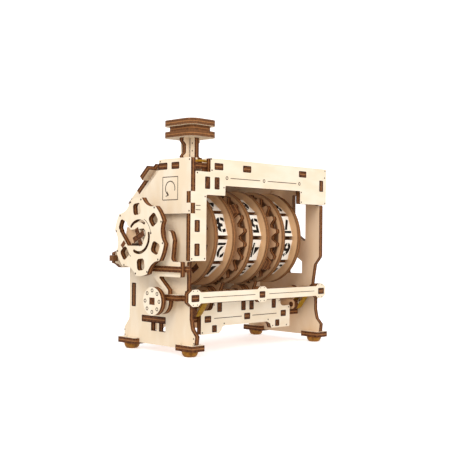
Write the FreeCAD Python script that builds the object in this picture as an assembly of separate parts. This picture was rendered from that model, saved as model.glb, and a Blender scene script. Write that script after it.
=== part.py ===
import FreeCAD, Part
import math
import os

# Wooden mechanical counter kit with a hand wheel, a push button and three digit drums.
# Work frame in mm: x runs along the drum axle from the front frame's left end,
# y runs back from the front frame's face, z runs up from the ground.
# Every shape is moved at export so that the origin is the bounding box's bottom centre.

Vec = FreeCAD.Vector

# Sheet and fits
PLY = 3.0
FIT = 0.05
RUN = 0.07
CORNER = 0.8

# Side panels and overall frame
FRAME_WIDTH = 106.0
FRAME_TOP = 99.5
PANEL_LEFT_X = 3.0
PANEL_RIGHT_X = 100.1
PANEL_TOP = 94.0
PANEL_REAR_Y = 51.2
FOOT_PLATE_TOP = 6.0
FOOT_PLATE_X = ((0.0, 9.0), (97.1, 106.1))
PANEL_BOTTOM = 3.8
FLARE_REAR_Y = 55.3
FOOT_FRONT_Y = -2.0
FOOT_REAR_Y = 57.5

# Axle and drums
AXLE_Y = 29.0
AXLE_Z = 59.6
STRIP_WIDTH = 9.4
CROSS_TURN = 25.0
SPACER_RADIUS = 7.0
SPACER_GAP = 0.35
DRUM_RADIUS = 26.0
DRUM_FIRST_X = 19.0
DRUM_PITCH = 26.0
DRUM_COUNT = 3
DIGIT_WIDTH = 10.4
DIGIT_COUNT = 10
DIGIT_HEIGHT = 11.8
DIGIT_FACE_RADIUS = 21.6
DIGIT_TENON = 5.4

# Transfer gears
GEAR_TEETH = 20
PINION_TEETH = 8
GEAR_TIP_RADIUS = 24.6
GEAR_ROOT_RADIUS = 21.0
PINION_TIP_RADIUS = 11.4
PINION_ROOT_RADIUS = 7.8
PINION_HUB_RADIUS = 6.2
GEAR_DISTANCE = 32.76
PINION_Z = AXLE_Z - GEAR_DISTANCE
CARRY_RADIUS = 23.0
LUG_OUTER = 25.9
LUG_HEIGHT = 5.3
LUG_FIRST_ANGLE = 36.0
LUG_STEP = 72.0
LUG_SEAT = 5.0
LUG_LAP = 3.0
PIN_RADIUS = 1.5

# Hand wheel
WHEEL_X = -9.05
WHEEL_RADIUS = 20.0
WHEEL_NOTCH_RADIUS = 17.3
WHEEL_LOBES = 6
WHEEL_LOBE_HALF_ANGLE = 13.5
WHEEL_PHASE = -7.0
WHEEL_HOLE_RADIUS = 14.2
WHEEL_HOLE_SIZE = 5.9
WHEEL_ARC_RADIUS = 8.1
WHEEL_ARC_WIDTH = 1.5
WHEEL_ARC_SPANS = ((-50.0, 32.0), (77.0, 207.0))
HUB_RADIUS = 14.2
HUB_FLAT = 4.9

# Ratchet and feed pawl
RATCHET_X = 9.9
RATCHET_RADIUS = 12.0
RATCHET_ROOT = 9.6
RATCHET_TEETH = 10
PAWL_PIVOT_Y = 14.6
PAWL_PIVOT_Z = 77.0

# Button and stem
STEM_X = 13.1
STEM_Y = 15.6
BUTTON_Z = 110.8
BUTTON_HALF_X = 9.6
BUTTON_HALF_Y = 11.8
BUTTON_CORNER = 5.2
BUTTON_GROOVE = 2.45
STEM_FRONT_Y = 11.8
STEM_REAR_Y = 22.4
STEM_TENON_HALF = 3.2
SHOULDER_LEFT_X = 8.9
SHOULDER_BOTTOM = 100.5
SHOULDER_BAND = 0.9
STEM_WAIST_BOTTOM = 102.9
STEM_WAIST_TOP = 107.4
NECK_TOP = 108.9
GUIDE_LEFT_X = 9.85
GUIDE_RIGHT_X = 16.45

# Front bar, its pivot and the release lever
PIVOT_Y = 19.0
PIVOT_Z = 27.4
PIVOT_RADIUS = 2.9
BAR_LEFT_X = -0.8
BAR_RIGHT_X = 106.4
BAR_BOTTOM = 26.7
BAR_TOP = 32.2
ARM_Z = 27.8
NODE_HALF_WIDTH = 4.0
NODE_BOTTOM = 25.2
NODE_TOP = 33.6
NODE_CENTRES = (3.8, 52.5, 101.5)
DIAL_X = -8.2
DIAL_RADIUS = 7.1
SQUARE_WIDE = 4.0
SQUARE_HIGH = 3.5
BOSS_RADIUS = 6.8
BOSS_BLOCK = (10.5, 18.0, 25.5, 33.0)
COLLAR_RADIUS = 4.6

# Lower plates
LOWER_PLATE_Y = 12.6
LOWER_PLATE_LEFT = 19.5
LOWER_PLATE_RIGHT = 89.3
LOWER_PLATE_TOP = 25.1
LOWER_PLATE_BOTTOM = 9.0
SHELF_Z = 15.3
RIB_X = (31.4, 49.5, 55.9, 74.1)
BRACE_X = (27.7, 77.2)
REAR_PLATE_Y = 46.0
REAR_PLATE_TOP = 37.0
EAR_Y = 49.4
EAR_LEFT_X = -8.1
EAR_KEY = (-9.7, -6.4)
EAR_KEY_Z = (46.7, 49.7)

# Rubber parts
FOOT_X = (4.5, 101.6)
FOOT_Y = (4.5, 50.5)
FOOT_RADIUS = 4.3
FOOT_BOTTOM_RADIUS = 3.1
BAND_THICKNESS = 1.3
BAND_WIDTH = 4.2
PEG_RADIUS = 1.5
STEM_BAND_REAR_Y = 12.45
STEM_BAND_RISE = 0.6
UPPER_PEG = (7.2, 29.4)
LOWER_PEG = (13.2, 21.4)

# Reading face on the rear slope
SLOPE_ANGLE = 48.2
READ_CLEARANCE = 0.5
READ_START = -24.0
READ_END = 6.0

RIGHT_BOSS_X = BAR_RIGHT_X - 0.3
ORIGIN_X = (EAR_KEY[0] + RIGHT_BOSS_X + PLY) / 2
ORIGIN_Y = (FOOT_FRONT_Y + FOOT_REAR_Y) / 2


def box(x0, x1, y0, y1, z0, z1):
    """A box between two corners."""
    return Part.makeBox(x1 - x0, y1 - y0, z1 - z0, Vec(x0, y0, z0))


def slot(x0, x1, y0, y1, z0, z1, gap=FIT):
    """The cutter for a mortise: the tenon's box grown by the fit gap."""
    return box(x0 - gap, x1 + gap, y0 - gap, y1 + gap, z0 - gap, z1 + gap)


def bar_x(x0, x1, y, z, radius):
    """A round bar along x."""
    return Part.makeCylinder(radius, x1 - x0, Vec(x0, y, z), Vec(1, 0, 0))


def outline(points, radius=0.0):
    """A closed wire in the plane of two coordinates with rounded corners."""
    corners = [Vec(p[0], p[1], 0) for p in points]
    radii = [p[2] if len(p) > 2 else radius for p in points]
    count = len(corners)
    ends = []
    for i, corner in enumerate(corners):
        before = corners[i - 1] - corner
        after = corners[(i + 1) % count] - corner
        angle = before.getAngle(after)
        bent = radii[i] > 0 and 0.05 < angle < math.pi - 0.05
        reach = radii[i] / math.tan(angle / 2) if bent else 0.0
        reach = min(reach, 0.48 * before.Length, 0.48 * after.Length)
        before.normalize()
        after.normalize()
        first = corner + before * reach
        last = corner + after * reach
        if reach > 1e-6:
            inward = before + after
            inward.normalize()
            round_radius = reach * math.tan(angle / 2)
            depth = round_radius / math.sin(angle / 2) - round_radius
            ends.append((first, corner + inward * depth, last))
        else:
            ends.append((corner, None, corner))
    edges = []
    for i, (first, middle, last) in enumerate(ends):
        if middle is not None:
            edges.append(Part.Arc(first, middle, last).toShape())
        following = ends[(i + 1) % count][0]
        if (following - last).Length > 1e-6:
            edges.append(Part.makeLine(last, following))
    return Part.Wire(edges)


def sheet(wire, thickness=PLY):
    """A flat sheet lying on z = 0."""
    return Part.Face(wire).extrude(Vec(0, 0, thickness))


def plate_xy(points, z, radius=CORNER, thickness=PLY):
    """A level plate whose points are x, y."""
    shape = sheet(outline(points, radius), thickness)
    shape.translate(Vec(0, 0, z))
    return shape


def place_sheet(shape, turn, place):
    """A copy of a flat sheet at a placement."""
    moved = shape.copy()
    moved.Placement = FreeCAD.Placement(place, turn)
    return moved


# The sheet's x, y, z become the work frame's x, z, -y.
TURN_XZ = FreeCAD.Rotation(Vec(1, 0, 0), 90)
# The sheet's x, y, z become the work frame's y, z, x.
TURN_YZ = FreeCAD.Rotation(Vec(1, 1, 1), 120)


def plate_xz(points, y, radius=CORNER, thickness=PLY):
    """An upright plate across the model whose points are x, z."""
    shape = sheet(outline(points, radius), thickness)
    return place_sheet(shape, TURN_XZ, Vec(0, y + thickness, 0))


def plate_yz(points, x, radius=CORNER, thickness=PLY):
    """An upright plate along the depth whose points are y, z."""
    shape = sheet(outline(points, radius), thickness)
    return place_sheet(shape, TURN_YZ, Vec(x, 0, 0))


def rectangle(a0, a1, b0, b1):
    """Corner points of a rectangle."""
    return [(a0, b0), (a1, b0), (a1, b1), (a0, b1)]


def disc_x(x, y, z, radius, thickness=PLY):
    """A disc across the x axis."""
    return bar_x(x, x + thickness, y, z, radius)


def turned(shape, degrees):
    """A copy turned about the axle; positive moves the front up."""
    moved = shape.copy()
    moved.rotate(Vec(0, AXLE_Y, AXLE_Z), Vec(-1, 0, 0), degrees)
    return moved


def axle_cross(x0, x1, gap=0.0):
    """The cross section of the two axle strips between two x values."""
    half = STRIP_WIDTH / 2 + gap
    thin = PLY / 2 + gap
    flat = box(x0, x1, AXLE_Y - half, AXLE_Y + half, AXLE_Z - thin, AXLE_Z + thin)
    upright = box(x0, x1, AXLE_Y - thin, AXLE_Y + thin, AXLE_Z - half, AXLE_Z + half)
    return turned(flat.fuse(upright).removeSplitter(), CROSS_TURN)


AXLE_BORE_RADIUS = math.hypot(STRIP_WIDTH / 2, PLY / 2) + RUN


def axle_bore(x0, x1):
    """The round hole in which the axle cross turns."""
    return bar_x(x0, x1, AXLE_Y, AXLE_Z, AXLE_BORE_RADIUS)


def slope_box(t0, t1, d0, d1, x0, x1):
    """A box on the rear slope: t along it downwards, d out from the axle."""
    shape = box(x0, x1, t0, t1, d0, d1)
    shape.rotate(Vec(0, 0, 0), Vec(1, 0, 0), SLOPE_ANGLE - 90)
    shape.translate(Vec(0, AXLE_Y, AXLE_Z))
    return shape


def slope_point(t, d):
    """The y, z of a point on the rear slope."""
    a = math.radians(SLOPE_ANGLE)
    y = AXLE_Y + d * math.cos(a) + t * math.sin(a)
    z = AXLE_Z + d * math.sin(a) - t * math.cos(a)
    return y, z


READ_INNER = DRUM_RADIUS + READ_CLEARANCE
READ_OUTER = READ_INNER + PLY
READ_TABS = ((-19.5, -14.5), (-4.0, 2.0))
TOP_FRONT_TABS = ((16.3, 22.0), (37.0, 42.7), (82.0, 87.9))
TOP_SIDE_TABS = ((9.0, 14.3), (18.0, 24.4))
TOP_REAR_Y = 24.4
LEFT_FRONT_TENONS = ((62.4, 67.9), (50.5, 56.2))
RIGHT_FRONT_TENON = (86.7, 92.6)
GUIDE_TENON = (84.1, 89.8)
REAR_TENON = (22.8, 34.8)
SHELF_TONGUE = (21.6, 40.4)
TONGUE_SLOTS = ((21.6, 26.6), (28.2, 33.0))
TONGUE_SLOT_BOTTOM = 10.8
SHELF_FRONT_TENONS = ((22.3, 26.5), (51.9, 56.1), (81.8, 85.8))
SHELF_REAR_TENONS = ((18.0, 26.0), (49.0, 57.0), (80.0, 88.0))
RIB_NOTCH_BOTTOM = 20.4
BRACE_TENON = (10.0, 13.2)
FOOT_TENONS = ((1.5, 7.5), (44.5, 51.5))
FOOT_FRONT = (FOOT_FRONT_Y, 11.0)
FOOT_REAR = (42.5, FOOT_REAR_Y)
HORN = (6.0, 10.8)
BAND_RELIEF = (11.9, 14.4)
BAND_RELIEF_BOTTOM = 91.2
EAR_NOTCH = (46.4, 51.5)
RECESS = (26.2, 32.7)


def top_plate():
    """Level plate that ties the frame's top."""
    left = PANEL_LEFT_X
    right = PANEL_RIGHT_X + PLY
    shape = box(left, right, PLY, TOP_REAR_Y, PANEL_TOP, PANEL_TOP + PLY)
    for x0, x1 in TOP_FRONT_TABS:
        shape = shape.fuse(box(x0, x1, 0, PLY, PANEL_TOP, PANEL_TOP + PLY))
    for y0, y1 in TOP_SIDE_TABS:
        shape = shape.fuse(box(0, left, y0, y1, PANEL_TOP, PANEL_TOP + PLY))
    shape = shape.removeSplitter()
    gap = 0.3
    side = slot(STEM_X, STEM_X + PLY, STEM_FRONT_Y, STEM_REAR_Y, 90, 100, gap)
    front = slot(SHOULDER_LEFT_X, STEM_X * 2 + PLY - SHOULDER_LEFT_X,
                 STEM_Y, STEM_Y + PLY, 90, 100, gap)
    shape = shape.cut(side).cut(front)
    for x in (GUIDE_LEFT_X, GUIDE_RIGHT_X):
        shape = shape.cut(slot(x, x + PLY, HORN[0], HORN[1], 90, 100))
    relief = box(GUIDE_LEFT_X + 0.3, GUIDE_RIGHT_X + PLY - 0.3, BAND_RELIEF[0], BAND_RELIEF[1],
                 90, 100)
    return shape.cut(relief)


def front_frame():
    """Front plate with the reading side's opposite window and the left leg."""
    right = FRAME_WIDTH
    points = [(0, 47.8), (10.7, 47.8), (10.7, 80.9), (23.9, 80.9), (23.9, 86.0),
              (82.9, 86.0), (82.9, 78.8), (right, 78.8), (right, FRAME_TOP),
              (13.3, FRAME_TOP), (13.3, 92.4), (PLY, 92.4), (PLY, 82.3, 0), (0, 82.3, 0),
              (0, 76.6, 0), (PLY, 76.6, 0), (PLY, 71.3, 0), (0, 71.3, 0)]
    shape = plate_xz(points, 0, 0.6)
    for x0, x1 in TOP_FRONT_TABS:
        shape = shape.cut(slot(x0, x1, 0, PLY, PANEL_TOP, PANEL_TOP + PLY))
    for x in (GUIDE_LEFT_X, GUIDE_RIGHT_X):
        shape = shape.cut(slot(x, x + PLY, 0, PLY, *GUIDE_TENON))
    for z0, z1 in LEFT_FRONT_TENONS:
        shape = shape.cut(slot(PANEL_LEFT_X, PANEL_LEFT_X + PLY, 0, PLY, z0, z1))
    x = PANEL_RIGHT_X
    return shape.cut(slot(x, x + PLY, 0, PLY, *RIGHT_FRONT_TENON))


def left_cover():
    """Outer plate on the left side with a sloping rear edge."""
    points = [(0, 71.3, 0), (0, 76.6, 0), (PLY, 76.6, 0), (PLY, 82.3, 0), (0, 82.3, 0), (0, 99.1),
              (24.4, 99.1), (24.4, 93.6), (39.5, 80.5), (39.5, 71.3)]
    shape = plate_yz(points, 0, 0.6)
    for y0, y1 in TOP_SIDE_TABS:
        shape = shape.cut(slot(0, PLY, y0, y1, PANEL_TOP, PANEL_TOP + PLY))
    notch = slot(0, PLY, TOP_SIDE_TABS[1][1], 30, PANEL_TOP, 100)
    tab_gap = slot(0, PLY, 0, PLY, 76.6, 82.3)
    return shape.cut(notch).cut(tab_gap)


def panel_points(front):
    """The outline shared by both side panels behind a given front edge."""
    slope_top = slope_point(0, READ_INNER)
    run = (slope_top[1] - PANEL_TOP) / math.cos(math.radians(SLOPE_ANGLE))
    low = slope_point(READ_END, READ_INNER)
    rear = [slope_point(run, READ_INNER), low, (PANEL_REAR_Y, low[1] - 1.2),
            (PANEL_REAR_Y, 16.0, 3.0), (FLARE_REAR_Y, 11.0, 2.0),
            (FLARE_REAR_Y, FOOT_PLATE_TOP)]
    foot = [(-0.4, FOOT_PLATE_TOP), (-0.6, 8.2), (-0.9, 10.4), (2.2, 13.6, 3.0),
            (3.3, 18.5, 4.0), (3.3, RECESS[0]), (6.9, RECESS[0]), (6.9, RECESS[1])]
    return foot + front + [(PLY, PANEL_TOP)] + rear


def finish_panel(shape, x):
    """Mortises, tenons and bores that both side panels share."""
    for t0, t1 in READ_TABS:
        shape = shape.fuse(slope_box(t0, t1, READ_INNER - 1, READ_OUTER, x, x + PLY))
    for y0, y1 in FOOT_TENONS:
        shape = shape.fuse(box(x, x + PLY, y0, y1, PLY, FOOT_PLATE_TOP + 1))
    shape = shape.fuse(box(x, x + PLY, FOOT_FRONT[1] + FIT, FOOT_REAR[0] - FIT, PANEL_BOTTOM,
                           FOOT_PLATE_TOP + 1))
    shape = shape.cut(slot(x, x + PLY, REAR_PLATE_Y, REAR_PLATE_Y + PLY, *REAR_TENON))
    y0, y1 = SHELF_TONGUE
    shape = shape.cut(slot(x, x + PLY, y0, y1, SHELF_Z, SHELF_Z + PLY))
    shape = shape.cut(axle_bore(x - 1, x + PLY + 1))
    shape = shape.cut(bar_x(x - 1, x + PLY + 1, PIVOT_Y, PIVOT_Z, PIVOT_RADIUS + RUN))
    return shape.removeSplitter()


def left_panel():
    """Left side panel that carries the axle and the bar's pivot."""
    front = [(5.5, RECESS[1]), (5.5, 47.3), (PLY, 47.3, 0)]
    x = PANEL_LEFT_X
    shape = plate_yz(panel_points(front), x)
    for z0, z1 in LEFT_FRONT_TENONS:
        shape = shape.fuse(box(x, x + PLY, 0, PLY + 1, z0, z1))
    shape = shape.cut(slot(x, x + PLY, EAR_Y, PANEL_REAR_Y + 1, *EAR_NOTCH))
    for y0, y1 in TONGUE_SLOTS:
        shape = shape.cut(box(x - 1, x + PLY + 1, y0, y1, TONGUE_SLOT_BOTTOM, SHELF_Z))
    return finish_panel(shape, x)


def right_panel():
    """Right side panel with two openings between its front pillar and bearing."""
    front = [(5.6, RECESS[1]), (5.0, 37.0, 2.0), (3.7, 44.5, 3.0), (0, 49.0, 2.0),
             (0, 78.5), (PLY, 78.5, 0)]
    x = PANEL_RIGHT_X
    shape = plate_yz(panel_points(front), x)
    shape = shape.fuse(box(x, x + PLY, 0, PLY + 1, *RIGHT_FRONT_TENON))
    upper = [(10.3, 57.4), (15.9, 60.9), (20.5, 65.2), (20.5, 85.0), (10.3, 85.0)]
    lower = [(12.7, 39.0), (24.0, 39.0), (24.0, 46.0), (18.4, 49.6), (12.7, 46.0)]
    shape = shape.cut(plate_yz(upper, x - 1, CORNER, PLY + 2))
    shape = shape.cut(plate_yz(lower, x - 1, CORNER, PLY + 2))
    return finish_panel(shape, x)


def reading_face():
    """Sloping rear plate with one window for each drum."""
    left = PANEL_LEFT_X
    right = PANEL_RIGHT_X + PLY
    overhang = 4.5
    shape = slope_box(READ_START, READ_END, READ_INNER, READ_OUTER, left, right)
    ear = slope_box(-22.2, -14.4, READ_INNER, READ_OUTER, left - overhang, right + overhang)
    shape = shape.fuse(ear).removeSplitter()
    for x in (PANEL_LEFT_X, PANEL_RIGHT_X):
        for t0, t1 in READ_TABS:
            cutter = slope_box(t0 - FIT, t1 + FIT, READ_INNER - 1, READ_OUTER + 1,
                               x - FIT, x + PLY + FIT)
            shape = shape.cut(cutter)
    for k in range(DRUM_COUNT):
        x0 = drum_x(k) + PLY + 0.4
        x1 = x0 + DIGIT_WIDTH - 0.8
        window = slope_box(-9.0, 2.6, READ_INNER - 1, READ_OUTER + 1, x0, x1)
        shape = shape.cut(window)
    return shape


def drum_x(k):
    """The left face of a drum."""
    return DRUM_FIRST_X + k * DRUM_PITCH


def rear_plate():
    """Upright plate across the rear between the side panels."""
    left = PANEL_LEFT_X + PLY
    right = PANEL_RIGHT_X
    points = [(left, 9.0), (22.0, 9.0), (27.0, 13.0), (79.0, 13.0), (84.0, 9.0),
              (right, 9.0), (right, REAR_PLATE_TOP), (left, REAR_PLATE_TOP)]
    shape = plate_xz(points, REAR_PLATE_Y, 1.5)
    y0 = REAR_PLATE_Y
    shape = shape.fuse(box(PANEL_LEFT_X, left + 1, y0, y0 + PLY, *REAR_TENON))
    shape = shape.fuse(box(right - 1, right + PLY, y0, y0 + PLY, *REAR_TENON))
    for x0, x1 in SHELF_REAR_TENONS:
        shape = shape.cut(slot(x0, x1, y0, y0 + PLY, SHELF_Z, SHELF_Z + PLY))
    return shape.removeSplitter()


def shelf():
    """Level plate low in the frame that carries the ribs."""
    left = PANEL_LEFT_X + PLY
    right = PANEL_RIGHT_X
    front = LOWER_PLATE_Y + PLY
    z0 = SHELF_Z
    z1 = SHELF_Z + PLY
    shape = box(left, right, front, REAR_PLATE_Y, z0, z1)
    shape = shape.fuse(box(left - PLY, left, SHELF_TONGUE[0], SHELF_TONGUE[1], z0, z1))
    shape = shape.fuse(box(right, right + PLY, SHELF_TONGUE[0], SHELF_TONGUE[1], z0, z1))
    for x0, x1 in SHELF_FRONT_TENONS:
        shape = shape.fuse(box(x0, x1, LOWER_PLATE_Y, front, z0, z1))
    for x0, x1 in SHELF_REAR_TENONS:
        shape = shape.fuse(box(x0, x1, REAR_PLATE_Y, REAR_PLATE_Y + PLY, z0, z1))
    shape = shape.removeSplitter()
    for k in (0, 1):
        x0 = pinion_teeth_x(k)
        shape = shape.cut(box(x0 - 0.5, x0 + PLY + 0.5, AXLE_Y - 8.0, AXLE_Y + 8.0,
                              z0 - 1, z1 + 1))
    for x in RIB_X:
        shape = shape.cut(slot(x, x + PLY, 22.0, 36.0, z0, z1))
    for x in PEG_PLATES:
        shape = shape.cut(slot(x, x + PLY, 19.0, 25.0, z0, z1))
    return shape


def lower_front_plate():
    """Upright plate in front of the shelf with an arched lower edge."""
    left = LOWER_PLATE_LEFT
    right = LOWER_PLATE_RIGHT
    low = LOWER_PLATE_BOTTOM
    top = LOWER_PLATE_TOP
    points = [(left, low), (32.6, low, 1.5), (34.6, 10.6, 1.0), (34.9, 12.3, 1.5), (37.5, 12.8),
              (70.0, 12.8), (72.6, 11.6, 1.5), (73.8, low), (right, low),
              (right, 21.1), (81.6, 21.1, 3.0), (80.8, top), (28.6, top),
              (27.4, 21.4, 4.0), (left, 21.4)]
    shape = plate_xz(points, LOWER_PLATE_Y, 0.6)
    y0 = LOWER_PLATE_Y
    y1 = y0 + PLY
    for x in RIB_X:
        shape = shape.cut(slot(x, x + PLY, y0, y1, RIB_NOTCH_BOTTOM, top + 1))
    for x0, x1 in SHELF_FRONT_TENONS:
        shape = shape.cut(slot(x0, x1, y0, y1, SHELF_Z, SHELF_Z + PLY))
    for x in BRACE_X:
        shape = shape.cut(slot(x, x + PLY, y0, y1, *BRACE_TENON))
    return shape


def rib(x):
    """One rib that carries a pinion shaft."""
    front = LOWER_PLATE_Y
    back = front + PLY
    low = SHELF_Z + PLY
    points = [(front, RIB_NOTCH_BOTTOM), (back, RIB_NOTCH_BOTTOM, 0), (back, low),
              (40.0, low), (38.0, 26.0), (33.0, 31.0), (25.0, 31.0), (20.0, 25.0),
              (front, 25.0)]
    shape = plate_yz(points, x, 0.5)
    shape = shape.fuse(box(x, x + PLY, 22.0, 36.0, SHELF_Z, low + 0.5))
    hole = bar_x(x - 1, x + PLY + 1, AXLE_Y, PINION_Z, PIN_RADIUS)
    return shape.cut(hole).removeSplitter()


def brace(x):
    """One brace under the shelf."""
    front = LOWER_PLATE_Y
    back = front + PLY
    points = [(front, BRACE_TENON[0]), (back, BRACE_TENON[0]), (28.0, 11.5),
              (REAR_PLATE_Y, 11.5), (REAR_PLATE_Y, SHELF_Z), (back, SHELF_Z),
              (back, BRACE_TENON[1]), (front, BRACE_TENON[1])]
    return plate_yz(points, x, 0.0)


def stem_guide(x):
    """One guide plate beside the stem, with a horn above the top plate and a notch for the band."""
    points = [(0, GUIDE_TENON[0]), (12.5, GUIDE_TENON[0]), (15.0, 87.5, 2.0), (23.0, 87.5),
              (23.0, PANEL_TOP), (BAND_RELIEF[1], PANEL_TOP), (BAND_RELIEF[1], BAND_RELIEF_BOTTOM),
              (BAND_RELIEF[0], BAND_RELIEF_BOTTOM), (BAND_RELIEF[0], PANEL_TOP),
              (HORN[1], PANEL_TOP, 0), (HORN[1], 99.9), (HORN[0], 99.9),
              (HORN[0], PANEL_TOP, 0), (PLY, PANEL_TOP, 0), (PLY, GUIDE_TENON[1], 0),
              (0, GUIDE_TENON[1])]
    return plate_yz(points, x, 0.4)


def rear_ear():
    """Small plate that stands out on the left behind the hand wheel."""
    left = EAR_LEFT_X
    low, high = EAR_NOTCH
    points = [(left, 45.6), (-6.4, 45.2, 1.0), (-3.6, 43.2), (2.2, 43.2), (2.8, low),
              (PANEL_LEFT_X + PLY, low, 0), (14.0, low), (14.0, high),
              (PANEL_LEFT_X + PLY, high, 0), (2.8, high), (2.2, 54.1), (-4.2, 54.1),
              (-4.9, 52.2, 1.5), (left, 51.1)]
    shape = plate_xz(points, EAR_Y, 0.4)
    return shape.cut(slot(*EAR_KEY, EAR_Y, EAR_Y + PLY, *EAR_KEY_Z))


def ear_key():
    """Square stick in the ear's open notch."""
    return box(*EAR_KEY, EAR_Y, EAR_Y + PLY, *EAR_KEY_Z)


def foot_plate(x0, x1, y0, y1, tenon):
    """One level foot plate with the panel's tenon through it."""
    shape = plate_xy(rectangle(x0, x1, y0, y1), PLY, 1.0)
    px = PANEL_LEFT_X if x0 < 50 else PANEL_RIGHT_X
    return shape.cut(slot(px, px + PLY, tenon[0], tenon[1], PLY, FOOT_PLATE_TOP))


def foot_plates():
    """All four foot plates."""
    solids = []
    for x0, x1 in FOOT_PLATE_X:
        solids.append(foot_plate(x0, x1, FOOT_FRONT[0], FOOT_FRONT[1], FOOT_TENONS[0]))
        solids.append(foot_plate(x0, x1, FOOT_REAR[0], FOOT_REAR[1], FOOT_TENONS[1]))
    return Part.makeCompound(solids)


def rubber_feet():
    """Four tapered rubber bumpers under the foot plates."""
    solids = []
    for x in FOOT_X:
        for y in FOOT_Y:
            cone = Part.makeCone(FOOT_BOTTOM_RADIUS, FOOT_RADIUS, PLY, Vec(x, y, 0))
            solids.append(cone)
    return Part.makeCompound(solids)


def pinion_x(k):
    """The left face of a transfer pinion."""
    return drum_x(k) + 2 * PLY + DIGIT_WIDTH + 0.3


def pinion_length():
    """A pinion reaches from the carry disc to the next drum's gear."""
    return DRUM_PITCH - 2 * PLY - DIGIT_WIDTH - 0.6


def pinion_teeth_x(k):
    """The left face of a pinion's toothed layer, in the plane of the next drum's gear."""
    return pinion_x(k) + pinion_length() - PLY


def pinion_shafts():
    """Fixed pins on which the pinions turn."""
    solids = []
    for k in (0, 1):
        x0 = RIB_X[2 * k]
        x1 = RIB_X[2 * k + 1] + PLY
        solids.append(bar_x(x0, x1, AXLE_Y, PINION_Z, PIN_RADIUS - 0.02))
    return Part.makeCompound(solids)


def toothed(teeth, tip, root, tip_half, root_half, phase):
    """A wire for a toothed wheel about the origin; phase in degrees."""
    points = []
    for i in range(teeth):
        centre = math.radians(phase + 360.0 * i / teeth)
        for radius, half in ((root, -root_half), (tip, -tip_half), (tip, tip_half),
                             (root, root_half)):
            angle = centre + math.atan2(half, radius)
            points.append((radius * math.cos(angle), radius * math.sin(angle)))
    return outline(points, 0.35)


def wheel_plate(wire, x, y, z, thickness=PLY):
    """A toothed sheet stood across x with its centre at y, z."""
    return place_sheet(sheet(wire, thickness), TURN_YZ, Vec(x, y, z))


def pinion(k):
    """One transfer pinion: a toothed layer glued to a round hub of two layers."""
    x0 = pinion_x(k)
    x1 = pinion_teeth_x(k)
    middle = (x0 + x1) / 2
    wire = toothed(PINION_TEETH, PINION_TIP_RADIUS, PINION_ROOT_RADIUS, 0.4, 1.9, 90.0)
    layers = [bar_x(x0, middle, AXLE_Y, PINION_Z, PINION_HUB_RADIUS),
              bar_x(middle, x1, AXLE_Y, PINION_Z, PINION_HUB_RADIUS),
              wheel_plate(wire, x1, AXLE_Y, PINION_Z)]
    bore = bar_x(x0 - 1, x1 + PLY + 1, AXLE_Y, PINION_Z, PIN_RADIUS + 0.05)
    return Part.makeCompound([layer.cut(bore) for layer in layers])


def drum_gear(k):
    """The twenty-tooth gear on a drum's left side."""
    wire = toothed(GEAR_TEETH, GEAR_TIP_RADIUS, GEAR_ROOT_RADIUS, 0.9, 2.5, 9.0)
    x = drum_x(k) - PLY
    return wheel_plate(wire, x, AXLE_Y, AXLE_Z).cut(axle_bore(x - 1, x + PLY + 1))


def drum_bore(k, x0, x1):
    """The first drum is keyed on the axle, the others turn freely on it."""
    if k == 0:
        return axle_cross(x0, x1, FIT)
    return axle_bore(x0, x1)


def facet_box(k, x0, x1, radial0, radial1, half, gap=0.0):
    """A box on one facet, which faces the front plus half a step."""
    shape = box(x0 - gap, x1 + gap, AXLE_Y - radial1 - gap, AXLE_Y - radial0 + gap,
                AXLE_Z - half - gap, AXLE_Z + half + gap)
    return turned(shape, 180.0 / DIGIT_COUNT + k * 360.0 / DIGIT_COUNT)


def drum_disc(k, x):
    """One disc of a drum with mortises for the digit plates."""
    shape = disc_x(x, AXLE_Y, AXLE_Z, DRUM_RADIUS)
    shape = shape.cut(drum_bore(k, x - 1, x + PLY + 1))
    inner = DIGIT_FACE_RADIUS - PLY
    for i in range(DIGIT_COUNT):
        half = DIGIT_TENON / 2
        shape = shape.cut(facet_box(i, x, x + PLY, inner, DIGIT_FACE_RADIUS, half, FIT))
    return shape


def digit_plates(k):
    """Ten plates with tenons into both discs of a drum."""
    x0 = drum_x(k) + PLY
    x1 = x0 + DIGIT_WIDTH
    inner = DIGIT_FACE_RADIUS - PLY
    solids = []
    for i in range(DIGIT_COUNT):
        plate = facet_box(i, x0, x1, inner, DIGIT_FACE_RADIUS, DIGIT_HEIGHT / 2)
        tenon = facet_box(i, x0 - PLY, x1 + PLY, inner, DIGIT_FACE_RADIUS, DIGIT_TENON / 2)
        solids.append(plate.fuse(tenon).removeSplitter())
    return Part.makeCompound(solids)


def carry_disc(k):
    """The disc on a drum's right side with its carry lug of two layers."""
    x = drum_x(k) + 2 * PLY + DIGIT_WIDTH
    shape = disc_x(x, AXLE_Y, AXLE_Z, CARRY_RADIUS)
    angle = LUG_FIRST_ANGLE - LUG_STEP * k
    lug = []
    # The first layer is one with the disc, the second is glued on beside it.
    for depth, x0 in ((LUG_SEAT, x), (LUG_LAP, x + PLY)):
        inner = CARRY_RADIUS - depth
        block = box(x0, x0 + PLY, AXLE_Y - LUG_OUTER, AXLE_Y - inner,
                    AXLE_Z - LUG_HEIGHT / 2, AXLE_Z + LUG_HEIGHT / 2)
        lug.append(turned(block, angle))
    shape = shape.fuse(lug[0]).removeSplitter()
    bore = drum_bore(k, x - 1, x + PLY + 1)
    return Part.makeCompound([shape.cut(bore), lug[1]])


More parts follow.
